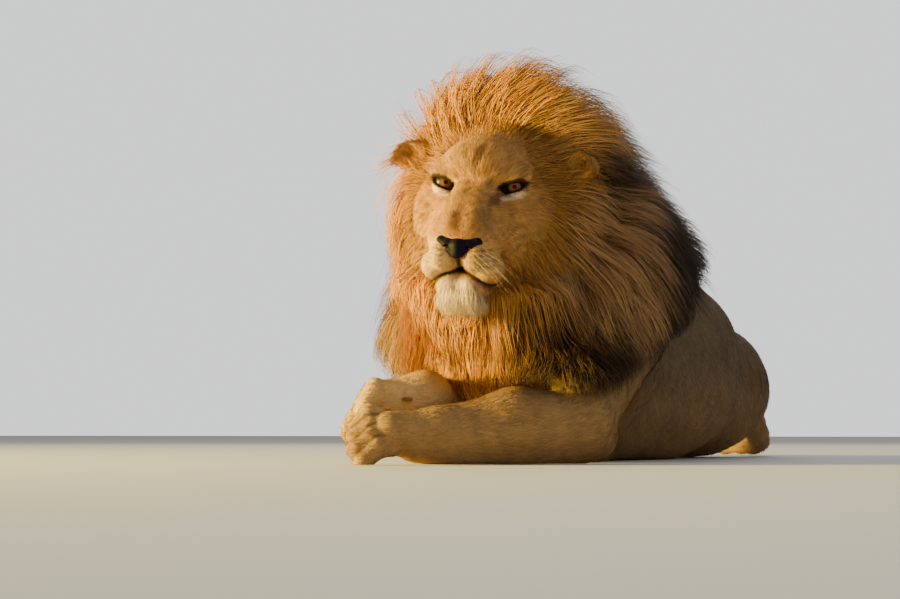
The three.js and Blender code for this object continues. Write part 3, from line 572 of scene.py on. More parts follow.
def animal(p):
    """The whole bare animal: all parts run together, each worked out only near itself, and the
    greater of that and the height under the floor's flat."""
    depth = np.full(len(p), FAR_AWAY)
    for form, low, high, soft in PARTS:
        near = ((p > low - PART_MARGIN) & (p < high + PART_MARGIN)).all(1)
        depth[near] = blended(depth[near], form(p[near]), soft)
    return np.maximum(depth, 1 - p[:, 2])


# The grid is fine round the face and coarse away from it: a place at a distance r from the
# middle of the face stands for one at M(r), where dM/dr grows from FINE to 1.
FINE, FINE_REACH, COARSE_REACH = 0.2, 560, 860
GRID_STEP = 15.2
GRID_CENTRE = on_head(0, 55, -70)
WARP_STEP = 5.0
warped = np.arange(0, 4200, WARP_STEP)
rates = FINE + (1 - FINE) * ramp(warped, FINE_REACH, COARSE_REACH)
real = np.concatenate([[0], np.cumsum((rates[1:] + rates[:-1]) / 2 * WARP_STEP)])


def moved(p, here, there):
    """Places moved to or from the middle of the grid, from one scale of distances to another."""
    away = p - GRID_CENTRE
    r = long(away)
    return GRID_CENTRE + away * (np.interp(r, here, there) / np.maximum(r, 1e-6))[..., None]


def box_of_points(axes):
    return np.stack(np.meshgrid(*axes, indexing="ij"), -1)


def finer(blocks):
    """Each value of a coarse grid given to all its fine points."""
    for axis in range(3):
        blocks = np.repeat(blocks, COARSE, axis)
    return blocks


CHUNKS = 12  # the fine points are worked out in lots, to save memory
body_low, body_high = np.array([-530, -1180, -30.0]), np.array([330, 1000, 720.0])
edges = box_of_points([np.linspace(body_low[i], body_high[i], 30) for i in range(3)]).reshape(-1, 3)
edges = moved(edges, real, warped)
COARSE = 4
grid_low = edges.min(0)
counts = np.ceil((edges.max(0) - grid_low) / (GRID_STEP * COARSE)).astype(int) + 2
coarse = box_of_points([grid_low[i] + GRID_STEP * COARSE * np.arange(counts[i]) for i in range(3)])
coarse = coarse.reshape(-1, 3)
coarse_at = moved(coarse, warped, real)
inside_box = ((coarse_at > body_low - PART_MARGIN) & (coarse_at < body_high + PART_MARGIN)).all(1)
coarse_values = np.full(len(coarse), FAR_AWAY)
coarse_values[inside_box] = animal(coarse_at[inside_box])
rate = np.interp(long(coarse - GRID_CENTRE), warped, rates)
close = (np.abs(coarse_values) < 1.5 * COARSE * GRID_STEP * rate + 6).reshape(counts)
values = finer(coarse_values.reshape(counts))
# each coarse point speaks for the fine ones half a coarse step either side of it
grid_low = grid_low - COARSE // 2 * GRID_STEP
picked = np.argwhere(finer(close))
near_places = moved(grid_low + GRID_STEP * picked, warped, real)
values[tuple(picked.T)] = np.concatenate([animal(chunk) for chunk in np.array_split(near_places, CHUNKS)])
body_points, body_faces = skin_of(values, grid_low, GRID_STEP)
body_points = settled(animal, moved(body_points, warped, real), 2)


def quartered(points, quads, chosen):
    """The chosen four-sided faces cut in four and settled on the skin, and the faces beside
    them cut in triangles about a new middle, so that no edge is left open."""
    after = np.roll(quads, -1, 1)
    keys = np.minimum(quads, after) * len(points) + np.maximum(quads, after)
    cut = np.unique(keys[chosen])
    at = np.minimum(np.searchsorted(cut, keys), len(cut) - 1)
    is_cut = cut[at] == keys
    mids = len(points) + at
    beside = is_cut.any(1) & ~chosen
    middle = np.zeros(len(quads), int)
    changed = chosen | beside
    middle[changed] = len(points) + len(cut) + np.arange(changed.sum())
    new = np.concatenate([(points[cut // len(points)] + points[cut % len(points)]) / 2,
                          points[quads[changed]].mean(1)])
    four = [np.stack([quads[chosen, k], mids[chosen, k], middle[chosen], mids[chosen, k - 1]], 1)
            for k in range(4)]
    fans = []
    for k in range(4):
        whole, halved = beside & ~is_cut[:, k], beside & is_cut[:, k]
        fans += [np.stack([quads[whole, k], after[whole, k], middle[whole]], 1),
                 np.stack([quads[halved, k], mids[halved, k], middle[halved]], 1),
                 np.stack([mids[halved, k], after[halved, k], middle[halved]], 1)]
    points = np.concatenate([points, settled(animal, new, 3, 4.0)])
    return points, np.concatenate([quads[~changed]] + four), np.concatenate(fans)


def from_toes(p, toes):
    """Distance from the bones of each toe."""
    return np.array([np.minimum(rod(p, a, b, 0, 0), rod(p, b, c, 0, 0)) for a, b, c in toes])


FRONT_TOES = 8
beside_cuts = []
for reach in (66, 42):
    toe_ways = from_toes(body_points[body_faces].mean(1), TOE_LINES[:FRONT_TOES]).min(0)
    body_points, body_faces, beside = quartered(body_points, body_faces, toe_ways < reach)
    beside_cuts.append(beside)
halves = np.concatenate([body_faces[:, :3], body_faces[:, [0, 2, 3]]] + beside_cuts)


# Lie of the short coat: from the nose back over the face, along the trunk and down the legs.
def lie_along(start, end):
    along = np.subtract(end, start)
    return [(np.add(start, along * t), unit(along)) for t in (0.1, 0.5, 0.9)]


def lie_on_head(place, way):
    return on_head(*place), HEAD_TURN @ unit(np.array(way))


COAT_LIES = [
    ((0, -300, 420), (0, 0.98, -0.1)), ((0, 100, 360), (0, 0.98, -0.1)),
    ((0, 400, 300), (0, 0.9, -0.4)),
    ((180, -250, 200), (0, 0.85, -0.5)), ((-180, -250, 200), (0, 0.85, -0.5)),
    ((180, 150, 180), (0, 0.8, -0.6)), ((-180, 150, 180), (0, 0.8, -0.6)), ((0, 620, 180), (0, 0.7, -0.7)),
    ((0, -650, 100), (0, 0.3, -0.9)), ((0, 0, 20), (0, 1.0, 0)), ((110, 480, 130), (0.2, 0.6, -0.7)),
]
for bones in [((150, -600, 250), ELBOW_LEFT, WRIST_LEFT, KNUCKLES_LEFT),
              ((-150, -590, 250), ELBOW_RIGHT, WRIST_RIGHT, KNUCKLES_RIGHT),
              ((-5, 430, 200), KNEE_RIGHT, HOCK_RIGHT, TOES_RIGHT), (KNEE_LEFT, HOCK_LEFT, TOES_LEFT),
              TAIL_POINTS]:
    for start, end in zip(bones, bones[1:]):
        COAT_LIES += lie_along(start, end)
FACE_LIES = [lie_on_head(*pair) for pair in [
    ((0, 130, -80), (0, -0.5, 0.85)), ((0, 60, -10), (0, -0.4, 0.95)), ((0, 40, 50), (0, -0.6, 0.8)),
    ((0, -20, 95), (0, -0.9, 0.4)), ((0, 100, -195), (0, 0.1, -1.0)), ((0, 135, -140), (0, 0.0, -1.0)),
    ((0, 0, -215), (0, -0.5, -0.8)),
]]
for s in (-1, 1):
    FACE_LIES += [lie_on_head(*pair) for pair in [
        ((s * 60, 55, -30), (s * 0.5, -0.6, -0.5)), ((s * 105, 10, -30), (s * 0.6, -0.8, -0.4)),
        ((s * 45, 125, -130), (s * 0.8, -0.4, -0.4)), ((s * 70, 85, -155), (s * 0.7, -0.5, -0.6)),
        ((s * 100, 0, -110), (s * 0.5, -0.6, -0.7)), ((s * 40, 60, -205), (s * 0.3, 0, -1.0)),
        ((s * 55, 15, 45), (s * 0.5, -0.5, 0.7)), ((s * 95, -40, 30), (s * 0.7, -0.7, 0.1)),
        ((s * 150, -95, 40), (s * 0.6, -0.1, 0.8)), ((s * 35, 95, -70), (s * 0.4, -0.7, 0.5)),
        ((s * 70, -50, -195), (s * 0.3, -0.5, -0.9)),
    ]]
COAT_SPREAD, FACE_SPREAD = 90, 30
HEAD_MIDDLE, HEAD_REACH = (0, 0, -50), 235


def head_distance(p):
    """Distance from the middle of the head."""
    return long(to_head(p) - HEAD_MIDDLE)


def coat_lie(p):
    """The way the short coat runs at each point, as the guides near it say."""
    head_share = 1 - ramp(head_distance(p), 190, 260)
    body = guided(p, COAT_LIES, COAT_SPREAD)
    head = guided(p, FACE_LIES, FACE_SPREAD)
    return unit(body + (head - body) * head_share[:, None], 1e-6)


# Colours of skin and hair, worked out once for any place on the animal.
def laid(colour, share, other):
    """One colour over another by a share at each point."""
    return colour + (np.asarray(other) - colour) * np.clip(share, 0, 1)[:, None]


def rough_noise(p, size, seed):
    """Smooth uneven patches: sines of turned places, summed and kept from -1 to 1."""
    random = np.random.default_rng(seed)
    total = np.zeros(len(p))
    for _ in range(5):
        wave = random.normal(0, 1, 3)
        total += np.sin(p @ wave / size * 2.2 + random.uniform(0, 6.28))
    return total / 3


DUN, TAWNY, SAND = (0.19, 0.122, 0.060), (0.46, 0.20, 0.047), (0.48, 0.25, 0.072)
CREAM, WHITE = (0.76, 0.48, 0.16), (0.87, 0.65, 0.39)
GOLD, RUST = (0.62, 0.270, 0.042), (0.42, 0.245, 0.115)
# the ears' gold is brighter than the mane's: painted light in the ear hollows
LIT_EAR_GOLD, BRIDGE_RUST = (0.80, 0.37, 0.085), (0.32, 0.135, 0.040)
BROWN, BLACK = (0.105, 0.052, 0.025), (0.020, 0.0115, 0.0085)


def spot(q, centre, radii, turn=np.eye(3)):
    """1 in the middle of an oval and 0 outside it."""
    return 1 - ramp(long((q - np.array(centre, float)) @ turn / np.array(radii, float)), 0.45, 1.1)


def spotted(tone, q, *spots):
    """Oval spots laid one after another: share, colour, centre, radii and a turn if it has one."""
    for share, other, *where in spots:
        tone = laid(tone, share * spot(q, *where), other)
    return tone


def plain(colour, number):
    return np.tile(colour, (number, 1))


def body_colour(p):
    """Dun above and sandy below, brown on the back, black at the tail, with painted light as cream on the
    far paw and painted shade where the toes meet.
    """
    colour = laid(plain(DUN, len(p)), 0.5 * (1 - ramp(p[:, 2], 40, 230)), SAND)
    colour = laid(colour, 0.35 * ramp(p[:, 2], 250, 420), BROWN)
    legs = ramp(-p[:, 1], 560, 700) * (1 - ramp(p[:, 2], 150, 260))
    colour = laid(colour, 0.3 * legs, SAND)
    colour = laid(colour, 0.3 * ramp(rough_noise(p, 60, 3), -0.2, 1.0) * (1 - legs), BROWN)
    # painted light: the far paw, on the lit side, is laid over with cream
    colour = laid(colour, 0.75 * (1 - ramp(long(p - KNUCKLES_RIGHT), 50, 150)), CREAM)
    colour = laid(colour, 0.9 * ramp(-p[:, 0], 390, 440) * ramp(p[:, 1], 780, 830), BLACK)
    colour = colour * (1 + 0.09 * rough_noise(p * (1, 0.5, 1), 12, 23))[:, None]
    colour = spotted(colour, p, (0.8, BROWN, DEWCLAW, (13, 15, 6)))
    # painted shade: brown along the lines where two toes meet
    toe_ways = np.sort(from_toes(p, TOE_LINES), axis=0)
    painted_crease_shade = (1 - ramp(toe_ways[1] - toe_ways[0], 0.5, 5)) * (1 - ramp(toe_ways[0], 22, 30))
    return laid(colour, 0.7 * painted_crease_shade, BROWN)


def face_colour(q):
    """Tawny, with pale pads and chin, white under the eyes, black rims, lips and ear backs, painted light on
    the pad on the lion's lit right and in the ear hollows, and painted shade beside the nose and low on the
    chin's left.
    """
    tone = laid(plain(TAWNY, len(q)), np.full(len(q), 0.35), SAND)
    tone = spotted(tone, q, (0.4, SAND, (0, 20, 60), (60, 60, 60)))
    for s in (-1, 1):
        tilt = turn_about(1, -s * SLIT_TILT)
        tone = spotted(tone, q,
                       # painted light: the pad on the lion's right, the lit side, takes more cream (0.95)
                       # than the one on its left (0.55)
                       (0.75 - 0.2 * s, CREAM, (s * 42, 105, -138), (48, 60, 42)),
                       (0.5, SAND, (s * 105, 0, -120), (60, 80, 60)),
                       (0.35, SAND, (s * 60, 20, 30), (30, 40, 12), tilt),
                       (0.9, WHITE, (s * 71, 28, -16), (34, 30, 9), tilt),
                       # painted shade: brown beside the bridge of the nose, on both sides
                       (0.4, BROWN, (s * 36, 90, -66), (17, 40, 36)),
                       (0.75, BROWN, (s * 40, 50, -32), (11, 40, 30), turn_about(1, s * 20)))
        above = ramp(q[:, 2] - (s * q[:, 0] - EYE_SIDE) * 0.32, -3, 5)
        tone = laid(tone, 0.97 * (1 - ramp(eye_slit(q, s) - 2.2 * above, 1.6, 4.4)), BLACK)
        inner = rod(q, (s * (EYE_SIDE - 18), 26, -6), (s * (EYE_SIDE - 30), 34, -15), 0, 0)
        outer = rod(q, (s * (EYE_SIDE + 18), 16, 5), (s * (EYE_SIDE + 31), 6, 9), 0, 0)
        tone = laid(tone, 0.97 * (1 - ramp(np.minimum(inner, outer), 3.0, 6.0)), BLACK)
        tone = spotted(tone, q,
                       # gold of the ear's hollow: the ear's own hair colour, brightened as painted sunlight
                       (0.8, LIT_EAR_GOLD, (s * 165, -88, 46), (46, 26, 34)),
                       (0.9, BLACK, (s * 160, -142, 50), (38, 20, 30)))
        for row, column in product(range(4), range(6)):  # where the whiskers spring
            place = (s * (28 + 9 * column), 132 - 3.0 * column, -122 - 9.5 * row + 1.5 * column)
            tone = spotted(tone, q, (0.65, BROWN, place, (5.0, 40, 3.1)))
    tone = spotted(tone, q,
                   (0.8, BRIDGE_RUST, (0, 115, -76), (38, 60, 26)),
                   # painted light: white laid over the lit pad on the lion's right
                   (0.2, WHITE, (-44, 105, -138), (44, 60, 40)),
                   (0.8, BROWN, (0, 30, 47), (10, 60, 34), turn_about(1, 12)))
    tone = laid(tone, 0.3 * ramp(rough_noise(q, 9, 5), 0.1, 1.1), BROWN)
    tone = spotted(tone, q,
                   (0.35, BROWN, (-29, 30, 61), (8, 60, 26), turn_about(1, -14)),
                   (0.95, WHITE, (0, 95, -200), (56, 75, 38)),
                   # painted shade: tawny over the white of the chin, low on the lion's left
                   (0.6, TAWNY, (44, 80, -200), (24, 70, 40)))
    # fur of the face in streaks that run out from the nose
    from_nose = q - (0, 120, -100)
    spoke = unit(from_nose, 1) * 110
    streaks = rough_noise(spoke + from_nose * 0.25, 5, 21)
    streaks = streaks + 0.6 * rough_noise(spoke + from_nose * 0.4, 11, 22)
    tone = tone * (1 + 0.25 * streaks)[:, None]
    return laid(tone, 0.9 * (1 - ramp(lips_at(q), 1.5, 6.0)), BLACK)


def coat_colour(p):
    """Linear colour of the short coat and the skin: body, then face, then what the mane hides."""
    head = (1 - ramp(head_distance(p), 215, 260))[:, None]
    mane = on_mane(p)[:, None]
    colour = body_colour(p) * (1 - head) + face_colour(to_head(p)) * head
    # painted shade: under the mane the skin takes the mane's colour, darkened to 0.8
    return colour * (1 - mane) + mane_colour(p) * mane * 0.8


def mane_colour(p):
    """Gold round the face and down the front, rust and brown behind, near black at the rim."""
    q = to_head(p)
    behind = behind_hairline(q)
    # painted shade: left moves the mane's own brown and black of its back further forward on the lion's
    # left, its shaded side
    left = ramp(q[:, 0], 20, 150)
    uneven = 28 * rough_noise(p, 70, 11)
    brown = ramp(behind + 110 * left + uneven, 50, 200)
    black = ramp(behind + 50 * left + uneven, 170, 290)
    colour = laid(plain(GOLD, len(p)), 0.85 * brown, RUST)
    low_left = ramp(p[:, 0] + uneven, 0, 70) * (1 - ramp(p[:, 2] + uneven, 190, 290))
    low_left = low_left * (1 - ramp(p[:, 1], -420, -280))
    colour = laid(colour, 0.92 * np.maximum(black, low_left), BLACK)
    return spotted(colour, q, (0.85, BLACK, (205, -165, 45), (75, 110, 62)))


def off_way(v, way):
    """What is left of each vector when its part along a way is taken off."""
    return v - (v * way).sum(-1, keepdims=True) * way


def blades(path, width, side, flat):
    """Closed three-sided hairs: rings round all but the last point of each path, w (cos a s +
    flat sin a u) at the angles 90, 210 and 330, and a point at the end."""
    number, rings = path.shape[0], path.shape[1] - 1
    tangent = unit(np.gradient(path, axis=1)[:, :-1])
    side = unit(off_way(side[:, None, :], tangent))
    up = np.cross(tangent, side)
    angles = np.radians([90, 210, 330])[:, None]
    around = np.cos(angles) * side[:, :, None] + flat * np.sin(angles) * up[:, :, None]
    points = path[:, :-1, None] + around * width[:, :, None, None]
    points = np.concatenate([points.reshape(number, rings * 3, 3), path[:, -1:]], 1)
    pattern = [(0, 2, 1)]
    for ring in range(rings - 1):
        for k in range(3):
            a, b = ring * 3 + k, ring * 3 + (k + 1) % 3
            pattern += [(a, b, b + 3), (a, b + 3, a + 3)]
    for k in range(3):
        pattern.append((rings * 3 - 3 + k, rings * 3 - 3 + (k + 1) % 3, rings * 3))
    pattern = np.array(pattern)
    faces = (np.arange(number)[:, None, None] * (rings * 3 + 1) + pattern).reshape(-1, 3)
    shares = np.concatenate([np.repeat(np.arange(rings), 3), [rings]]) / rings
    return points.reshape(-1, 3), faces, np.tile(shares, number), rings * 3 + 1


def unwrapped(p):
    """A place on the skin as two shares: along the trunk and round it, and the head apart."""
    q = to_head(p) - HEAD_MIDDLE
    distance = long(q)
    on_face = distance < HEAD_REACH
    along = (p[:, 1] + 1180) / 2190
    around = np.arctan2(p[:, 0] + 0.02 * p[:, 1], p[:, 2] - 170) / (2 * np.pi) + 0.5
    rise = np.arccos(np.clip(q[:, 2] / np.maximum(distance, 1), -1, 1)) / np.pi
    turn = np.arctan2(q[:, 0], q[:, 1]) / (2 * np.pi) + 0.5
    u = np.where(on_face, 0.62 + 0.36 * turn, 0.02 + 0.56 * around)
    v = np.where(on_face, 0.02 + 0.96 * rise, 0.02 + 0.96 * along)
    return np.stack([u, v], 1)


BAKE_PATCH = 0.003


def hair_piece(name, path, width, side, flat, roots, colours, finish):
    """A piece of closed hairs with its colour, darker at the root as painted shade deep in
    the coat, and its own small patch of the unwrap for each hair."""
    points, faces, shares, per_hair = blades(path, width, side, flat)
    # painted shade: each hair is 0.86 of its colour at the root, rising to 1.04 at the tip
    tone = np.repeat(colours, per_hair, axis=0) * (0.86 + 0.18 * shares)[:, None]
    piece = mesh_of(name, points, faces, tone, smooth=path.shape[1] > 2)
    layer = piece.data.uv_layers.new(name="OFBake")
    home = np.repeat(unwrapped(roots), per_hair, axis=0)
    across = (np.tile(np.arange(per_hair), len(roots)) % 3) / 2
    local = home + BAKE_PATCH * np.stack([across, shares], 1)
    corners = np.empty(len(piece.data.loops), np.int32)
    piece.data.loops.foreach_get("vertex_index", corners)
    layer.data.foreach_set("uv", local[corners].astype(np.float32).ravel())
    return carried(piece, finish)


MATTE = 0.12  # specular level of hair, hide and the wet of the eyes
# painted shade: the skin under the coat is darker than the hairs on it
HIDE_SHADE = 0.93  # the skin is a little darker than the hairs on it
hide = mesh_of("hide", body_points, halves, coat_colour(body_points) * HIDE_SHADE)
hide_finish = Finish("hide_coat", MATTE, Roughness=0.75).coloured()
fibre = hide_finish.node("TexNoise", 0, {"noise_dimensions": "3D"}, Vector=hide_finish.node("TexCoord", 3),
                         Scale=210.0, Detail=5.0, Roughness=0.7)
hide_finish.bumped(fibre, 1.0, 0.0032)
carried(hide, hide_finish)
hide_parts("torso", "neck", "head", "lower_jaw", "left_ear", "right_ear", "left_upper_arm",
            "right_upper_arm", "left_forearm", "right_forearm", "left_forepaw", "right_forepaw",
            "left_thigh", "right_thigh", "left_shank", "right_shank", "left_hindpaw",
            "right_hindpaw", "tail_base", "tail_middle", "tail_end", "tail_tuft",
            "mane_crown", "mane_left", "mane_right", "mane_chest")


# ---------------------------------------------------------------- roots over the skin
# Hairs are rooted at places spread evenly over the skin by area, as dense as each kind asks.
corner_a, corner_b, corner_c = (body_points[halves[:, k]] for k in range(3))
crossing = np.cross(corner_b - corner_a, corner_c - corner_a)
half_area = long(crossing) / 2
vertex_normal = unit(np.stack([sum(np.bincount(halves[:, k], crossing[:, i], len(body_points))
                                   for k in range(3)) for i in range(3)], 1))
half_middle = (corner_a + corner_b + corner_c) / 3


def rooted(number, weight, random):
    """Places on the skin and the skin's outward ways there, chosen by area times a weight."""
    chance = np.cumsum(half_area * weight)
    wanted = (np.arange(number) + random.uniform(0, 1, number)) / number * chance[-1]
    picked = np.minimum(np.searchsorted(chance, wanted), len(chance) - 1)
    a, b = random.uniform(0, 1, (2, number, 1))
    a, b = np.where(a + b > 1, 1 - a, a), np.where(a + b > 1, 1 - b, b)
    one, two, three = (halves[picked, k] for k in range(3))
    places, normals = ((1 - a - b) * at[one] + a * at[two] + b * at[three]
                       for at in (body_points, vertex_normal))
    return places, unit(normals)


# ---------------------------------------------------------------- eyes
# Two wet balls in their sockets, each looking a little to the lion's right and coloured by the
# angle from that way: a small round pupil, an amber iris with a darker edge, and brown white.
EYE_RINGS, EYE_SIDES = 40, 64
GAZE = np.array([0.27, 1.0, 0.03])
PUPIL_ANGLE, IRIS_ANGLE = 11.5, 36.0
PUPIL, AMBER, HONEY = (0.006, 0.004, 0.004), (0.12, 0.038, 0.011), (0.19, 0.066, 0.016)
IRIS_EDGE, EYE_WHITE = (0.012, 0.006, 0.003), (0.018, 0.010, 0.007)
eye_finish = Finish("eye_wet", MATTE, Roughness=0.32, CoatWeight=0.02, CoatRoughness=0.03).coloured()
gaze = unit(GAZE)
right = unit(np.cross(gaze, (0, 0, 1.0)))
top = np.cross(right, gaze)
tilts = np.linspace(0, np.pi, EYE_RINGS + 1)[1:-1, None, None]
turns = (np.arange(EYE_SIDES) / EYE_SIDES * 2 * np.pi)[:, None]
rings = np.cos(tilts) * gaze + np.sin(tilts) * (np.cos(turns) * right + np.sin(turns) * top)
ball = np.concatenate([[gaze], rings.reshape(-1, 3), [-gaze]])
angle = np.degrees(np.arccos(np.clip(ball @ gaze, -1, 1)))
spokes = np.sin(np.arctan2(ball @ top, ball @ right) * 23) * 0.5 + 0.5
eye_tone = laid(plain(HONEY, len(ball)), ramp(angle, 12, 30) * (0.55 + 0.3 * spokes), AMBER)
eye_tone = laid(eye_tone, ramp(angle, IRIS_ANGLE - 7, IRIS_ANGLE), IRIS_EDGE)
eye_tone = laid(eye_tone, ramp(angle, IRIS_ANGLE + 1, IRIS_ANGLE + 9), EYE_WHITE)
eye_tone = laid(eye_tone, 1 - ramp(angle, PUPIL_ANGLE - 1.5, PUPIL_ANGLE + 1), PUPIL)
k = np.arange(EYE_SIDES)
after = (k + 1) % EYE_SIDES
last = len(ball) - 1
ball_faces = [np.stack([0 * k, 1 + after, 1 + k], 1),
              np.stack([0 * k + last, last - EYE_SIDES + k, last - EYE_SIDES + after], 1)]
for a in 1 + EYE_SIDES * np.arange(EYE_RINGS - 2):
    ball_faces += [np.stack([a + k, a + after, a + EYE_SIDES + after], 1),
                   np.stack([a + k, a + EYE_SIDES + after, a + EYE_SIDES + k], 1)]
for s, name in ((1, "left_eye"), (-1, "right_eye")):
    places = from_head_frame(ball * EYE_RADIUS + (s * EYE_SIDE, EYE_OUT, 0))
    eye = mesh_of(name + "_ball", places, np.concatenate(ball_faces), eye_tone)
    carried(eye, eye_finish)
    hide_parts(name)

# ---------------------------------------------------------------- nose and eye rims
# Bare black skin: the broad pad of the nose with its two nostrils, the rim of each lid, the
# lips and the groove between nose and mouth.
nose_form = Flesh(7)
for s in (-1, 1):
    nose_form.limb((0, 124, -113), 11, (s * 33, 117, -107), 9)
    nose_form.limb((s * 33, 116, -107), 9, (s * 26, 123, -118), 7)
    nose_form.limb((s * 20, 126, -114), 9, (s * 5, 131, -128), 7)
nose_form.limb((0, 130, -114), 11, (0, 132, -129), 6)


def nose_at(q):
    depth = nose_form.at(q)
    for s in (-1, 1):
        nostril = oval(q, (s * 22, 141, -117), (9, 13, 4), turn_about(1, s * 25))
        slit_out = rod(q, (s * 28, 134, -116), (s * 42, 120, -109), 2.4, 1.6)
        depth = carved(depth, np.minimum(nostril, slit_out), 3)
    groove = rod(q, (0, 149, -106), (0, 143, -138), 2.4, 2.4)
    return carved(depth, groove, 3)


def small_skin(name, field, low, high, step):
    """A piece of bare skin where a field in the head's frame passes nought in a box."""
    counts = np.ceil((np.array(high) - low) / step).astype(int) + 1
    grid = box_of_points([low[i] + step * np.arange(counts[i]) for i in range(3)])
    places, faces = skin_of(field(grid.reshape(-1, 3)).reshape(counts), np.array(low, float), step)
    places = from_head_frame(settled(field, places, 2, 0.6))
    return carried(mesh_of(name, places, faces[:, ::-1]), nose_finish)


nose_finish = Finish("nose_leather", 0.08, BaseColor=(0.007, 0.0042, 0.009, 1), Roughness=0.6)
pebble = nose_finish.node("TexVoronoi", 0, {"feature": "F1"}, Vector=nose_finish.node("TexCoord", 3),
                          Scale=520.0)
nose_finish.bumped(pebble, 0.35, 0.0006)
nose = small_skin("nose_pad", nose_at, [-56, 88, -150], [56, 165, -80], 1.3)
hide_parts("nose")


def rims_at(q):
    depth = np.full(len(q), 50.0)
    for s in (-1, 1):
        from_ball = long(q - (s * EYE_SIDE, EYE_OUT, 0.0)) - EYE_RADIUS - 1.6
        rim = np.hypot(eye_slit(q, s) - 0.4, from_ball) - 1.9
        front = (EYE_OUT + 4) - q[:, 1]
        depth = np.minimum(depth, np.maximum(rim, front))
    return depth


def lip_skin_at(q):
    return np.hypot(face_at(q) + 0.6, lips_at(q)) - 1.3 - 2.6 * (1 - ramp(q[:, 1], 50, 80))


small_skin("eye_rims", rims_at, [-100, 0, -22], [100, 34, 22], 1.1)
small_skin("lips", lip_skin_at, [-100, 34, -215], [100, 150, -116], 1.4)


# ---------------------------------------------------------------- short coat
# Short fur of the trunk, legs, tail and face: flat tapered tufts rooted in the skin that lie
# along it and overlap, shortest on the muzzle and round the eyes.
half_on_face = head_distance(half_middle) < HEAD_REACH
half_mane = on_mane(half_middle)
half_floor = ramp(half_middle[:, 2], 3, 8)


def short_tufts(name, number, weight, lengths, widths, lean, seed, finish):
    random = np.random.default_rng(seed)
    roots, normals = rooted(number, weight, random)
    way = unit(off_way(coat_lie(roots), normals) + random.normal(0, 0.16, (number, 3)))
    way = unit(off_way(way, normals))
    q = to_head(roots)
    muzzle = 1 - ramp(long(q - (0, 90, -110)), 70, 190)
    near_eyes = np.max([spot(q, (s * EYE_SIDE, 22, 0), (46, 50, 34)) for s in (-1, 1)], axis=0)
    fine = np.maximum(muzzle, near_eyes)
    length = lengths[0] + (lengths[1] - lengths[0]) * fine
    from_paw = np.min([long(roots - place) for place in
                       (KNUCKLES_LEFT, KNUCKLES_RIGHT, TOES_LEFT, TOES_RIGHT)], axis=0)
    length = length * random.uniform(0.75, 1.25, number) * (0.5 + 0.5 * ramp(from_paw, 90, 260))
    length = length * (1 + 1.2 * spot(q, (0, 95, -205), (60, 75, 40)) * (q[:, 2] < -178))
    width = widths[0] + (widths[1] - widths[0]) * fine
    rise = np.sin(np.radians(lean)) * random.uniform(0.5, 1.35, number) * length
    path = np.stack([roots - 0.1 * rise[:, None] * normals,
                     roots + length[:, None] * way + rise[:, None] * normals], 1)
    ring_widths = width[:, None] * random.uniform(0.7, 1.3, (number, 1))
    colours = coat_colour(roots) * random.uniform(0.75, 1.22, (number, 1))
    path[..., 2] = np.maximum(path[..., 2], 1.5)
    return hair_piece(name, path, ring_widths, np.cross(way, normals), 0.32, roots, colours, finish)


coat_finish = Finish("coat_hair", MATTE, Roughness=0.65).coloured()
for i in range(3):
    short_tufts(f"coat_{i}", 26000, half_floor * (1 - half_on_face) * (1 - half_mane) ** 2,
                (20, 14), (1.3, 0.9), 5.5, 40 + i, coat_finish)
for i in range(2):
    short_tufts(f"face_fur_{i}", 22000, half_on_face * (1 - half_mane) ** 2,
                (13, 8), (0.8, 0.52), 12, 60 + i, coat_finish)


# ---------------------------------------------------------------- mane
# Long hair of the mane: clumps of hairs that start at the heart of the mane, follow its lie in
# one bent line a clump and gather towards their tips, black-brown along the back edge.
CLUMPS = 5600
CLUMP_STEPS = 9
mane_random = np.random.default_rng(7)
half_height = guided(half_middle, MANE_GUIDES, GUIDE_SPREAD)
half_crown = ramp(half_height[:, 3], 110, 180)


def not_inward(way, normal):
    """Each way with what points into the skin taken off it."""
    return unit(way - np.minimum((way * normal).sum(1, keepdims=True), 0) * normal)


def fore_at(p):
    """Distance from the forearms and hands, on which the mane only comes to rest."""
    return np.min([arm.at(p) for arm in (left_forearm, right_forearm, left_paw, right_paw)], axis=0)


half_in_head = to_head(half_middle)
ear_near = np.max([spot(half_in_head, (s * 168, -100, 44), (66, 62, 56)) for s in (-1, 1)], axis=0)
clump_weight = ramp(half_mane, 0.03, 0.4) * ramp(above_edge(half_middle), 25, 75)
clump_weight = clump_weight * ramp(fore_at(half_middle), 12, 45) * (1 - ear_near)
clump_roots, clump_normals = rooted(CLUMPS, clump_weight * (1 + 2.6 * half_crown), mane_random)


def near_skin(p):
    """Distance from the skin under the mane: its heart or the flesh, whichever is nearer."""
    bare = mane_flesh.at(p)
    return np.minimum(bare - heart_rise(p), bare + COAT_DEPTH)


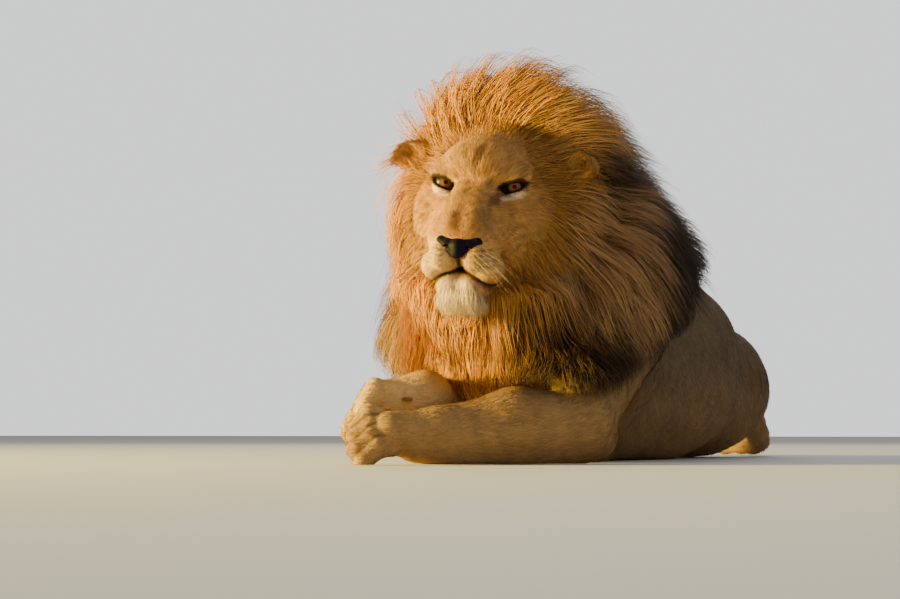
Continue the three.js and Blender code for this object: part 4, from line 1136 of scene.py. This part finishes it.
clump_at = clump_roots.copy()
said = guided(clump_roots, MANE_GUIDES, GUIDE_SPREAD)
hair_length = said[:, 4] * mane_random.uniform(0.85, 1.2, CLUMPS) * (0.45 + 0.55 * on_mane(clump_roots))
reach_out = (0.85 - HEART_SHARE) * said[:, 3] * mane_random.uniform(0.1, 1.0, CLUMPS)
sway = mane_random.normal(0, 0.10, (CLUMPS, 3))
clump_path = [clump_at]
pace = hair_length / (CLUMP_STEPS - 1)
for t in np.arange(1, CLUMP_STEPS) / (CLUMP_STEPS - 1):
    normal = outward(near_skin, clump_at, 4.0)
    lie = unit(guided(clump_at, MANE_GUIDES, GUIDE_SPREAD)[:, :3] + sway)
    lie = not_inward(lie, normal)
    wanted = reach_out * (1 - (1 - t) ** 2.2)
    lift = np.clip((wanted - near_skin(clump_at)) / pace, -0.45, 0.9)
    clump_way = unit(lie * np.sqrt(1 - np.minimum(lift, 0.85) ** 2 * 0.8)[:, None] + normal * lift[:, None])
    clump_at = clump_at + clump_way * pace[:, None]
    off = near_skin(clump_at) - wanted
    clump_at = clump_at - normal * (np.clip(off, -12, 14) * np.where(off > 0, 0.65, 0.5))[:, None]
    clump_at[:, 2] = np.maximum(clump_at[:, 2], 4)
    clump_path.append(clump_at)
clump_path = np.stack(clump_path, 1)
clump_tone = mane_random.uniform(0.85, 1.15, CLUMPS)
clump_y = clump_path[..., 1]
left_low = np.minimum(121 + 0.66 * np.maximum(clump_y + 859, 0), 246 + 0.107 * (clump_y + 671))
right_low = 95 + 0.3 * np.maximum(clump_y + 480, 0)
lowest = right_low + (left_low - right_low) * ramp(clump_path[..., 0], -20, 90)
lowest = lowest + mane_random.uniform(-12, 22, (CLUMPS, 1))
too_low = (clump_path[..., 2] < lowest) | (fore_at(clump_path.reshape(-1, 3)).reshape(CLUMPS, -1) < 5)
usable = np.where(too_low.any(1), np.argmax(too_low, 1), CLUMP_STEPS - 1) / (CLUMP_STEPS - 1)
usable = np.maximum(usable, 0.25)[:, None]


MANE_TAPER = np.array([0.9, 1.0, 0.85, 0.6])
mane_finish = Finish("mane_hair", MATTE, Roughness=0.5).coloured()


def mane_hairs(name, number, seed):
    """A piece of long hairs, each on the line of its clump, off to a side and gathered again."""
    random = np.random.default_rng(seed)
    rings = len(MANE_TAPER)
    clump = random.integers(0, CLUMPS, number)
    line = clump_path[clump]
    along = np.linspace(0, 1, rings + 1) ** 0.9 * random.uniform(0.6, 1.0, (number, 1))
    along = along * usable[clump]
    place = along * (CLUMP_STEPS - 1)
    below = np.minimum(place.astype(int), CLUMP_STEPS - 2)
    part = (place - below)[..., None]
    rows = np.arange(number)[:, None]
    path = line[rows, below] * (1 - part) + line[rows, below + 1] * part
    ahead = unit(line[:, 4] - line[:, 0])
    across = unit(np.cross(ahead, clump_normals[clump]) + 1e-6)
    third = np.cross(across, ahead)
    offset = across * random.normal(0, 11, (number, 1)) + third * random.normal(0, 5, (number, 1))
    gather = 1 - 0.4 * along ** 1.2
    path = path + offset[:, None] * gather[..., None]
    wave = random.normal(0, 1, (number, 1)) * np.sin(along * random.uniform(2, 4, (number, 1))) * 2.2
    path = path + across[:, None] * wave[..., None]
    loose = (random.uniform(0, 1, number) < 0.05)[:, None]
    path = path + (unit(random.normal(0, 1, (number, 3))) * loose)[:, None] * (along ** 2 * 16)[..., None]
    path[..., 2] = np.maximum(path[..., 2], 2)
    widths = 0.8 * random.uniform(0.7, 1.3, (number, 1)) * MANE_TAPER
    tone = clump_tone[clump] * random.uniform(0.85, 1.15, number)
    colours = mane_colour(path[:, rings // 2]) * tone[:, None]
    return hair_piece(name, path, widths, across, 0.5, path[:, 0], colours, mane_finish)


for i in range(5):
    mane_hairs(f"mane_{i}", 7800, 80 + i)


# ---------------------------------------------------------------- ruff and beard
# Hair of middling length where the face runs out into the mane, the white beard under the
# chin, the fringe inside each ear and the tuft of the tail, each rooted in the skin along the
# lie. ear_lock is meant for the left ear, but no face of the skin is inside its spot, so all
# its weights are 0 and its roots fall on the skin's first face, beside a hindpaw.
def falling_hairs(name, number, weight, length, width, lean, fall, tint, seed, slot):
    """Hairs that leave the skin by a lean and fall a way, of one length or one for each root."""
    random = np.random.default_rng(seed)
    roots, normals = rooted(number, weight, random)
    way = not_inward(unit(coat_lie(roots) + np.array(fall) + random.normal(0, 0.14, (number, 3))), normals)
    length = random.uniform(0.75, 1.2, number) * (length(roots) if callable(length) else length)
    rise = np.array([-0.03, 1.0, 1.0]) * np.sin(np.radians(lean))
    path = roots[:, None] + way[:, None] * (np.array([0, 0.5, 1.0]) * length[:, None])[..., None]
    path = path + normals[:, None] * (rise * (length * random.uniform(0.4, 1.2, number))[:, None])[..., None]
    path[..., 2] = np.maximum(path[..., 2], 2)
    widths = width * random.uniform(0.7, 1.3, (number, 1)) * np.array([1.0, 0.75])
    colours = tint(roots) * random.uniform(0.88, 1.12, (number, 1))
    return hair_piece(name, path, widths, np.cross(way, normals), 0.5, roots, colours, mane_finish)


def edge_share(p):
    """0 in the middle of the face, 1 where the mane begins."""
    return ramp(behind_hairline(to_head(p)), -80, 5)


ear_zone = sum(spot(half_in_head, (s * 152, -102, 40), (62, 60, 60)) for s in (-1, 1))
in_front = half_on_face * edge_share(half_middle) * (1 - ramp(half_mane, 0.3, 0.8)) * (1 - ear_zone)


def ruff_colour(p):
    return 0.5 * coat_colour(p) + 0.5 * mane_colour(p)


def beard_colour(p):
    return laid(coat_colour(p), np.full(len(p), 0.6), WHITE)


beard_weight = spot(half_in_head, (0, 85, -212), (48, 75, 32)) * (half_in_head[:, 2] < -186)
ear_weight = sum(spot(half_in_head, (s * 152, -84, 46), (28, 18, 22)) for s in (-1, 1))
lock_weight = spot(half_in_head, (95, -63, 57), (9, 12, 8))
tuft_weight = ramp(-half_middle[:, 0], 425, 470) * ramp(half_middle[:, 1], 780, 830)
for hairs in [  # name, number, weight, length, width, lean, fall, colour, seed, slot
    ("ruff", 7000, in_front, lambda p: 14 + 44 * edge_share(p), 0.45, 12, (0, 0, -0.15),
     ruff_colour, 91, "face_coat"),
    ("beard", 3400, beard_weight, 27.0, 0.5, 15, (0, 0, -1.2), beard_colour, 92, "chin_coat"),
    ("ear_fringe", 700, ear_weight, 15.0, 0.5, 10, (0, 0, 0.2), ruff_colour, 93, "face_coat"),
    ("ear_lock", 45, lock_weight, 70.0, 0.5, 12, (7.0, -2.6, -9.0),
     lambda p: plain(GOLD, len(p)) * 1.15, 94, "face_coat"),
    ("tail_hair", 1800, tuft_weight, 58.0, 0.9, 14, (-1.6, -1.1, 0),
     lambda p: plain(BLACK, len(p)) * 1.6, 95, "dark_hair"),
]:
    falling_hairs(*hairs)

# ---------------------------------------------------------------- whiskers
# Long white bristles in four rows on the pads of the muzzle, that bow down under their weight.
random = np.random.default_rng(17)
whisker_roots, whisker_ways, whisker_lengths = [], [], []
for s, row, column in product((-1, 1), range(4), range(4)):
    whisker_roots.append((s * (30 + 8 * column), 138 - 3.5 * column, -122 - 9.5 * row + 1.5 * column))
    whisker_ways.append((s * (0.8 + 0.05 * column), 0.25 - 0.06 * column, -0.25 - 0.13 * row))
    whisker_lengths.append(40 + 12 * column)
WHISKERS = len(whisker_roots)
whisker_ways = unit(np.array(whisker_ways) + random.normal(0, 0.08, (WHISKERS, 3)))
whisker_lengths = np.array(whisker_lengths) * random.uniform(0.7, 1.15, WHISKERS)
whisker_roots = settled(face_at, np.array(whisker_roots, float), 12, 5.0)
t = np.linspace(0, 1, 6)[None, :, None]
bend = whisker_ways[:, None] * t + np.array([0, -0.1, -0.28]) * t * t
whisker_path = from_head_frame(whisker_roots[:, None] + bend * whisker_lengths[:, None, None])
whisker_widths = 0.22 * np.array([1, 0.9, 0.75, 0.55, 0.35]) * np.ones((WHISKERS, 1))
hair_piece("whiskers", whisker_path, whisker_widths, plain((0, 0, 1.0), WHISKERS), 0.9,
           whisker_path[:, 0], plain(WHITE, WHISKERS), mane_finish)
